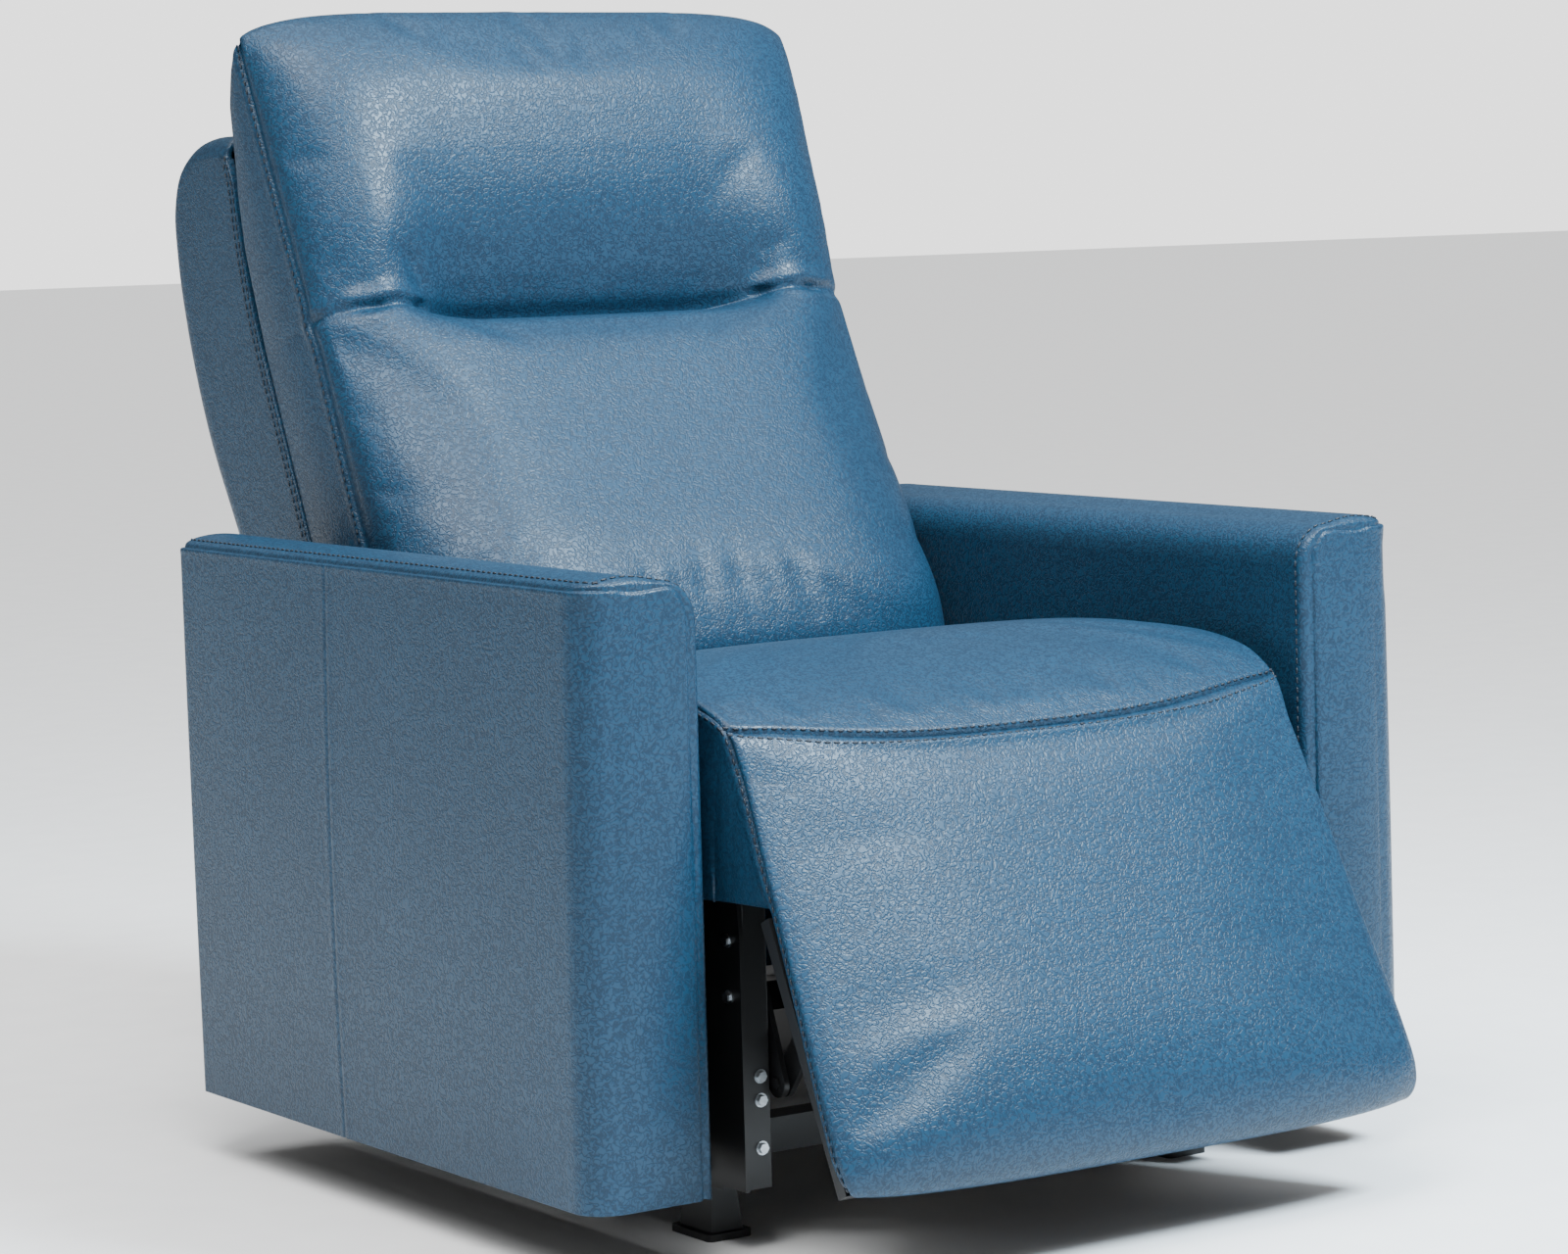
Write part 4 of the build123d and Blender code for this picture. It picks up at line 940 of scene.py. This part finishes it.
# the rear takes on the crown's height over the last curve numbers, where front and rear meet
crown_starts, crown_over = 13, 2
boxing_lap, lap_start, lap_over, lap_top, lap_top_over = 9.0, 281.0, 10.0, 560.0, 60.0
boxing_mm, boxing_bulge, foot_rows = 86.0, 3.0, 14
crown_part = np.clip((back_knots[:, None] - crown_starts) / crown_over, 0, 1)
rear_t = back_tn[:, :1, 1] + (back_tn[..., 1] - back_tn[:, :1, 1]) * crown_part
rear_n = np.interp(rear_t, [t for t, n in back_rear], [n for t, n in back_rear])
lap = np.clip((np.abs(back_tn[..., 0]) - lap_start) / lap_over, 0, 1)
lap = lap * np.clip((lap_top - rear_t) / lap_top_over, 0, 1)
rear_n = rear_n - boxing_lap * lap
rear_n[-1] = back_tn[-1, :, 2]
back_rear_panel = lean_back(np.stack([back_tn[..., 0], rear_t, rear_n], -1))
boxing_share = marks(boxing_mm, strip_step, (0,)) / boxing_mm
boxings = {}
for way, column in ((-1, 0), (1, -1)):
    boxings[way] = between(back_front[:, column], back_rear_panel[:, column], boxing_share)
    boxings[way][..., 0] += way * boxing_bulge * np.sin(math.pi * boxing_share)[None]
back_foot = between(back_front[0], back_rear_panel[0], np.linspace(0, 1, foot_rows)).swapaxes(0, 1)
head_row = int(np.argmax(back_tn[:, 0, 1] > tuck_t))
print("leather from row", head_row, "up behind the head")

# %% [markdown]
# The panels are sewn and filled, with the tuck and the seams held. The photograph shows how the
# hide gathers where the tuck runs out: a crease goes on to the side seam, a fold stands above it
# and a softer one below, and the hide puckers at the corner. These few folds are placed one by one.

# %% The back cover and its tuck
back_panels = [(back_front, 0), (back_rear_panel[:head_row + 1], 1), (back_rear_panel[head_row:], 0)]
back_panels += [(boxings[-1], 0), (boxings[1], 0), (back_foot, 0)]
back_cover = sew("back_and_head_cover", back_panels, [leather, lining_and_shade_cloth], close_holes=True)
back_seams = [back_front[:, 0], back_front[:, -1]]
tuck_row = int(np.argmin(np.abs(back_places - tuck_mm)))
held_rows = [back_front[0], back_front[-1], back_front[tuck_row]]
swell(back_cover, back_front, back_seams + held_rows, looseness=0.003)
press(back_cover, back_seams, **deep_seam)
# each fold's (x, t) places on one side, and its depth, width and rise; a negative depth stands up
tuck_folds = {
    "crease": ([(292, tuck_t), (240, tuck_t), (190, tuck_t)], 5.0, 4.0, 1.0),
    "fold above": ([(264, 400), (228, 405), (192, 402)], -4.0, 6.0, 0.0),
    "pucker": ([(186, 398), (192, 412), (200, 432)], 5.0, 8.0, 0.0),
    "fold below": ([(246, 375), (218, 383), (192, 388)], -2.5, 5.0, 0.0),
}


def on_front(places):
    """Points of the back's front panel nearest to these (x, t) places."""
    flat = back_tn.reshape(-1, 3)
    nearest = [flat[np.argmin(((flat[:, :2] - np.array(place)) ** 2).sum(1))] for place in places]
    return lean_back(np.array(nearest))


for way in (-1, 1):
    for places, depth, width, rise in tuck_folds.values():
        press(back_cover, [on_front([(way * x, t) for x, t in places])], depth, width, rise)
soften(back_cover)
print("folds at each end of the tuck:", list(tuck_folds))

# %% [markdown]
# The head tilts about a hinge behind the tuck, and the hide round the tuck has the slack for it.
# Two points mark that stretch, and a row of stitches runs down each boxing strip.

# %% Back stitching
bend_low, bend_high = 345, 440
boxing_rows = [boxings[way][beside_seam:-beside_seam, beside_seam] for way in (-1, 1)]
back_stitches = stitch("back_stitches", boxing_rows, back_cover)
tuck_low = tuple(to_row((0, *on_back(bend_low, 0))))
tuck_high = tuple(to_row((0, *on_back(bend_high, 0))))
for cover in (back_cover, back_stitches):
    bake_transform(cover)
stands_for(back_cover, ["back_cushion", "head_cushion"])

# %% [markdown]
# ## The back shell
# Behind the cushions a padded shell covers the back's frame: one panel up the rear and over the
# top, with rounded sides that come forward to a double-stitched edge. It is drawn as an outline
# seen from the side, drawn in near the sides to round them, and then given a thickness.

# %% Back shell panels
shell_outline = [(-8, -200), (120, -222), (265, -239), (380, -252), (490, -246), (556, -233), (602, -215)]
shell_outline += [(629, -188), (637, -150), (630, -112), (613, -74)]
shell_front = [(-8, -97), (100, -96), (215, -96), (322, -98), (433, -100), (520, -90), (572, -80)]
shell_front += [(585, -81), (590, -81.5), (593, -82), (595, -82)]
shell_half, shell_round, shell_wall, shell_side_mm = 294.0, 20.0, 9.0, 130.0
shell_row_step, shell_column_step = 8.0, 9.0
inside_shell = np.array([300.0, -120.0])


def roll(distance, radius):
    """How far a rolled edge falls away, this far from the edge."""
    inside = np.clip(radius - np.asarray(distance, float), 0, radius)
    return radius - np.sqrt(radius ** 2 - inside ** 2)


shell_knots = knots_at(shell_outline, marks(run_length(shell_outline), shell_row_step))
outline_tn = through(shell_outline, shell_knots)
along = np.gradient(outline_tn, axis=0)
along /= np.linalg.norm(along, axis=1)[:, None]
inward = np.stack([along[:, 1], -along[:, 0]], -1)
inward *= np.sign(((inside_shell - outline_tn) * inward).sum(1))[:, None]
shell_x = shell_half - marks(2 * shell_half, shell_column_step, (0, 2 * shell_half))
fall = roll(shell_half - np.abs(shell_x), shell_round)
shell_tn = outline_tn[:, None] + inward[:, None] * fall[None, :, None]
shell_grid_x = np.broadcast_to(shell_x[None, :, None], shell_tn.shape[:2] + (1,))
shell_rear = lean_back(np.concatenate([shell_grid_x, shell_tn], -1))
front_tn = through(shell_front, shell_knots)
front_tn[-1] = shell_tn[-1, 0]
side_share = marks(shell_side_mm, shell_row_step, (shell_side_mm,)) / shell_side_mm
shell_sides = {}
for way, column in ((-1, -1), (1, 0)):
    strip_tn = between(shell_tn[:, column], front_tn, side_share)
    x = np.full(strip_tn.shape[:2] + (1,), way * shell_half)
    shell_sides[way] = lean_back(np.concatenate([x, strip_tn], -1))
print("shell rows", len(outline_tn), "columns", len(shell_x))

# %% [markdown]
# Unlike the cushions, the shell is open at the front, so it isn't closed but thickened. Solidify
# adds an inner wall and a rim, and the subdivision rounds that rim into a padded edge.

# %% Back shell cover
shell_panels = [(shell_rear, 0), (shell_sides[-1], 0), (shell_sides[1], 0)]
back_shell_cover = sew("back_shell_cover", shell_panels, [leather, lining_and_shade_cloth])
wall = back_shell_cover.modifiers.new("padding", "SOLIDIFY")
wall.thickness = shell_wall * MM
wall.offset = -1
soften(back_shell_cover)
edge_columns = (-3, -6)
shell_rows = [shell_sides[way][:-clear_of_seam, k] for way in (-1, 1) for k in edge_columns]
shell_stitches = stitch("shell_stitches", shell_rows, back_shell_cover)
for cover in (back_shell_cover, shell_stitches):
    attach(cover, "backrest")
stands_for(back_shell_cover, ["back_shell"])

# %% [markdown]
# ## The arms
# Each arm is a padded box. One piece of hide wraps the outer side and the front round a soft
# corner, and a second piece runs over the top, down the round inner corner and over the inner
# side. A box with rounded edges would do from afar, but its seams would have nowhere to lie, so
# the sheets are drawn row by row from front to rear, and meet where the real ones are sewn.

# %% Arm sizes
arm_length, arm_low, arm_top, arm_seam = 705.0, 60.0, 565.0, 561.0
arm_inner, arm_outer, arm_taper, outer_full = 314.3, 426.0, 6.0, 4.0
front_round, inner_round, front_roll, rear_roll, seam_roll = 30.0, 35.0, 12.0, 9.0, 3.0
arm_crown, arm_pillow, pillow_power, edge_fall = 5.0, 5.0, 0.6, 5.5
rear_lean, rear_bulge_share, join_y = 19.0, 0.6, 422.0
arm_step, section_step, corner_rows, corner_points = 10.0, 8.0, [17.0, 22.0, 27.0], 9
round_z = arm_top - inner_round
arm_high = arm_seam - arm_low
arm_h = marks(arm_high, arm_step, (arm_high,)) / arm_high
arm_y = marks(arm_length, arm_step, (0, join_y, arm_length))
arm_y = np.array(sorted(set(arm_y.tolist() + corner_rows)))


def arm_scale(z):
    """The arm's rear leans: it is shorter towards the floor."""
    return (arm_length - rear_lean * (arm_top - z) / (arm_top - arm_low)) / arm_length


def outer_x(y, h):
    """The outer face, full in the middle and rolled in at its edges."""
    full = outer_full * np.sin(math.pi * np.clip(h, 0, 1))
    full = full * np.sin(math.pi * np.clip(y / arm_length, 0, 1)) ** 0.5
    x = arm_outer + arm_taper * (1 - h) + full
    x = x - roll((1 - h) * arm_high, seam_roll) - roll(arm_length - y, rear_roll)
    return x - roll(y, front_round)


print("arm rows", len(arm_y), "from front to rear")

# %% [markdown]
# The top sheet is a section that is carried from front to rear: nearly flat, with a slight crown,
# then a quarter round and the straight inner side. The wrap and the rear hang below the top's edge
# and share its points.

# %% Arm panels
def arm_section(x_outer):
    """The top panel's section from the outer seam to the foot of the round inner corner."""
    middle = arm_inner + inner_round
    flat = marks(arm_outer - middle, section_step, (0,)) / (arm_outer - middle)
    x_flat = x_outer + (middle - x_outer) * flat
    across = (x_flat - middle) / (x_outer - middle)
    bulge = np.sin(math.pi * np.clip(across, 0, 1)) * arm_crown
    z_flat = arm_top + bulge - (arm_top - arm_seam) * np.clip(1 - flat * edge_fall, 0, 1) ** 2
    angle = np.linspace(0, math.pi / 2, corner_points)[1:]
    x_round = middle - inner_round * np.sin(angle)
    z_round = round_z + inner_round * np.cos(angle)
    return np.stack([np.concatenate([x_flat, x_round]), np.concatenate([z_flat, z_round])], -1)


def arm_end(y, row, across, bulge_way):
    """The columns of the arm's front or rear face, under one row of the top sheet."""
    edge_x = outer_x(np.full_like(arm_h, y), arm_h)
    inner_x = row[across - 1, 0]
    columns = []
    for m in range(across):
        share = (row[m, 0] - inner_x) / (row[0, 0] - inner_x)
        x = inner_x + (edge_x - inner_x) * share
        z = arm_low + arm_h * (row[m, 2] - arm_low)
        bulge = arm_pillow * np.sin(math.pi * share) ** pillow_power * np.sin(math.pi * arm_h) ** pillow_power
        columns.append(np.stack([x, y * arm_scale(z) + bulge_way * bulge, z], -1))
    return columns


def arm_panels():
    """The arm's three sheets for the side at +X: wrap, top with inner side, and rear."""
    inner_z = arm_low + arm_h[::-1][1:] * (round_z - arm_low)
    inner = np.stack([np.full_like(inner_z, arm_inner), inner_z], -1)
    top = []
    for y in arm_y:
        section = arm_section(float(outer_x(np.array(y), np.array(1.0))))
        line = np.concatenate([section, inner])
        shrink = float(roll(y, front_roll))
        line[:, 0] += shrink * (1 - (line[:, 0] - arm_inner) / (section[0, 0] - arm_inner))
        line[:, 1] -= shrink * np.clip((line[:, 1] - arm_seam) / (arm_top + arm_crown - arm_seam), 0, 1)
        top.append(np.stack([line[:, 0], y * arm_scale(line[:, 1]), line[:, 1]], -1))
    top = np.array(top)
    across = top.shape[1] - len(inner_z)
    wrap = []
    for y, row in zip(arm_y[::-1], top[::-1]):
        z = arm_low + arm_h * (row[0, 2] - arm_low)
        wrap.append(np.stack([outer_x(np.full_like(arm_h, y), arm_h), y * arm_scale(z), z], -1))
    wrap += arm_end(0.0, top[0], across, -1)[1:]
    rear = arm_end(arm_length, top[-1], across, rear_bulge_share)
    return np.array(wrap), top, np.array(rear)


arm_wrap, arm_top_panel, arm_rear = arm_panels()
print("arm sheets", arm_wrap.shape, arm_top_panel.shape, arm_rear.shape)

# %% [markdown]
# The seam between the sheets is the arm's main line: along the outer top edge, across the front
# and down the inner edge, with one row of topstitching beside it. A flat seam joins two hides on
# the outer side, and the hide puckers a little under the front corner. The arms are taut, so they
# need no filling, and the second arm is the first one mirrored.

# %% Arm covers
stitch_row = 5
corner_pucker = np.array([(arm_outer - 8, 9, 540), (arm_outer - 6, 8, 506)])
join_row = list(arm_y[::-1]).index(join_y)


def mirrored(grid, way):
    """The same sheet on the other side of the chair."""
    return grid * np.array([way, 1, 1])


for side, way in (("left", 1), ("right", -1)):
    sheets = [(mirrored(grid, way), 0) for grid in (arm_wrap, arm_top_panel, arm_rear)]
    arm = sew("arm_leather_" + side, sheets, [leather, lining_and_shade_cloth], close_holes=True)
    sheet = mirrored(arm_top_panel, way)
    press(arm, [sheet[:, 0], sheet[0], sheet[-1]], depth=2.4, width=1.5, rise=0.3)
    press(arm, [mirrored(arm_wrap, way)[join_row]], depth=0.6, width=1.7, rise=0.3)
    press(arm, [mirrored(corner_pucker, way)], depth=1.4, width=8.0)
    rows = [sheet[stitch_row, stitch_row:], sheet[stitch_row:, stitch_row]]
    press(arm, rows, depth=0.6, width=1.7)
    soften(arm)
    arm_stitches = stitch("arm_stitches_" + side, rows, arm)
    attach(arm, "base")
    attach(arm_stitches, "base")
    stands_for(arm, ["arm_cover_" + side])

# %% [markdown]
# ## The rear rail
# A leather-wrapped rail joins the arms behind the seat, low down. It is a plain box of wood with
# a thin pad over it, so its cover is a rounded section carried straight across.

# %% Rear rail cover
rail_low, rail_high = (np.array(corner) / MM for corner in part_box("rear_rail"))
rail_low[1] -= front_y / MM
rail_high[1] -= front_y / MM
rail_round, rail_step, rail_corner_points = 10.0, 20.0, 7
ring = []
for corner_y, corner_z, first in ((1, 1, 0), (0, 1, 90), (0, 0, 180), (1, 0, 270)):
    centre_y = rail_high[1] - rail_round if corner_y else rail_low[1] + rail_round
    centre_z = rail_high[2] - rail_round if corner_z else rail_low[2] + rail_round
    for angle in np.radians(np.linspace(first, first + 90, rail_corner_points)):
        ring.append((centre_y + rail_round * math.cos(angle), centre_z + rail_round * math.sin(angle)))
ring.append(ring[0])
rail_x = marks(rail_high[0] - rail_low[0], rail_step) + rail_low[0]
rail_grid = np.array([[(x, y, z) for y, z in ring] for x in rail_x])
rear_rail_cover = sew("rear_rail_cover", [(rail_grid, 0)], [leather, lining_and_shade_cloth], close_holes=True)
soften(rear_rail_cover)
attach(rear_rail_cover, "base")
stands_for(rear_rail_cover, ["rear_rail"])

# %% [markdown]
# ## Front brackets
# Just inside each side plate an angle bracket ties the plate to the base rail, and it shows in the
# gap beside the footrest. It is a bent strip of steel, so its section is carried straight upwards
# and a bevel takes the sharpness off its edges.

# %% Front brackets
bracket_gap, bracket_low, bracket_high, bracket_setback, bracket_edge = 0.4, 52.0, 292.0, 2.0, 0.8
bracket_width, bracket_depth, bracket_sheet = 23.0, 46.0, 3.0
plate_low, plate_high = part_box("side_plate_left")
plate_inner = plate_low.x / MM - bracket_gap
bracket_front = plate_low.y / MM - front_y / MM + bracket_setback
outline = [(0, bracket_depth), (0, 0), (-bracket_width, 0), (-bracket_width, bracket_sheet)]
outline += [(-bracket_sheet, bracket_sheet), (-bracket_sheet, bracket_depth), (0, bracket_depth)]
for side, way in (("left", 1), ("right", -1)):
    section = [(way * (plate_inner + x), bracket_front + y) for x, y in outline]
    grid = np.array([[(x, y, z) for x, y in section] for z in (bracket_low, bracket_high)])
    bracket = sew("front_bracket_" + side, [(grid, 0)], [powder_coat], close_holes=True)
    bracket.data.polygons.foreach_set("use_smooth", [False] * len(bracket.data.polygons))
    edge_round = bracket.modifiers.new("rounded_edges", "BEVEL")
    edge_round.width = bracket_edge * MM
    edge_round.segments = 2
    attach(bracket, "base")
print("front brackets from", bracket_low, "to", bracket_high, "mm")

# %% [markdown]
# ## Bolts
# Three zinc bolts show on each bracket and two on each side plate. They repeat, so a second node
# tree sets a hexagon head on a washer at the start of each short line that it is given, pointing
# along the line. Ten copies by hand would look the same, but a change of size would be ten changes.

# %% The bolt tree
def bolt_tree():
    """A hexagon head on a washer at the start of each line."""
    sizes = ("Head radius", "Head height", "Washer radius", "Washer height")
    tree, given = new_tree("hexagon_bolt", "Bolt lines", sizes, "Metal", "Bolts")
    line = node(tree, "GeometryNodeMeshToCurve", {}, {"Mesh": given["Bolt lines"]})
    head = node(tree, "GeometryNodeMeshCylinder", {"Vertices": 6},
                {"Radius": given["Head radius"], "Depth": given["Head height"]})
    washer = node(tree, "GeometryNodeMeshCylinder", {"Vertices": 16},
                  {"Radius": given["Washer radius"], "Depth": given["Washer height"]})
    lift = node(tree, "ShaderNodeMath", {"operation": "MULTIPLY", 1: 0.5}, {0: given["Head height"]})
    up = node(tree, "ShaderNodeCombineXYZ", {}, {"Z": lift.outputs["Value"]})
    raised = node(tree, "GeometryNodeTransform", {},
                  {"Geometry": head.outputs["Mesh"], "Translation": up.outputs["Vector"]})
    both = node(tree, "GeometryNodeJoinGeometry")
    tree.links.new(raised.outputs["Geometry"], both.inputs["Geometry"])
    tree.links.new(washer.outputs["Mesh"], both.inputs["Geometry"])
    first = node(tree, "GeometryNodeCurveEndpointSelection", {"Start Size": 1, "End Size": 0})
    along = node(tree, "GeometryNodeInputTangent")
    turned = node(tree, "FunctionNodeAlignRotationToVector", {"axis": "Z"},
                  {"Vector": along.outputs["Tangent"]})
    placed = node(tree, "GeometryNodeInstanceOnPoints", {},
                  {"Points": line.outputs["Curve"], "Selection": first.outputs["Selection"],
                   "Instance": both.outputs["Geometry"], "Rotation": turned.outputs["Rotation"]})
    end_tree(tree, placed.outputs["Instances"], given["Metal"], "Bolts")
    return tree


# %% Bolts in their places
bolt_size = {"Head radius": 0.0045, "Head height": 0.004, "Washer radius": 0.006, "Washer height": 0.0014}
bolt_size["Metal"] = zinc
bracket_bolts_z, plate_bolts_yz, bolt_line, flange_share = (86, 126, 146), ((52, 259), (52, 212)), 9, 0.6
bolt_x = plate_inner - bracket_width * flange_share
plate_outer = plate_high.x / MM
bolt_lines = []
for way in (-1, 1):
    for z in bracket_bolts_z:
        bolt_lines.append([(way * bolt_x, bracket_front, z), (way * bolt_x, bracket_front - bolt_line, z)])
    for y, z in plate_bolts_yz:
        bolt_lines.append([(way * plate_outer, y, z), (way * (plate_outer + bolt_line), y, z)])
front_bolts = grown("front_bolts", [to_row(line) for line in bolt_lines], bolt_tree(), bolt_size)
front_bolts.data.polygons.foreach_set("use_smooth", [False] * len(front_bolts.data.polygons))
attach(front_bolts, "base")
print("front bolts:", len(bolt_lines), "faces:", len(front_bolts.data.polygons))
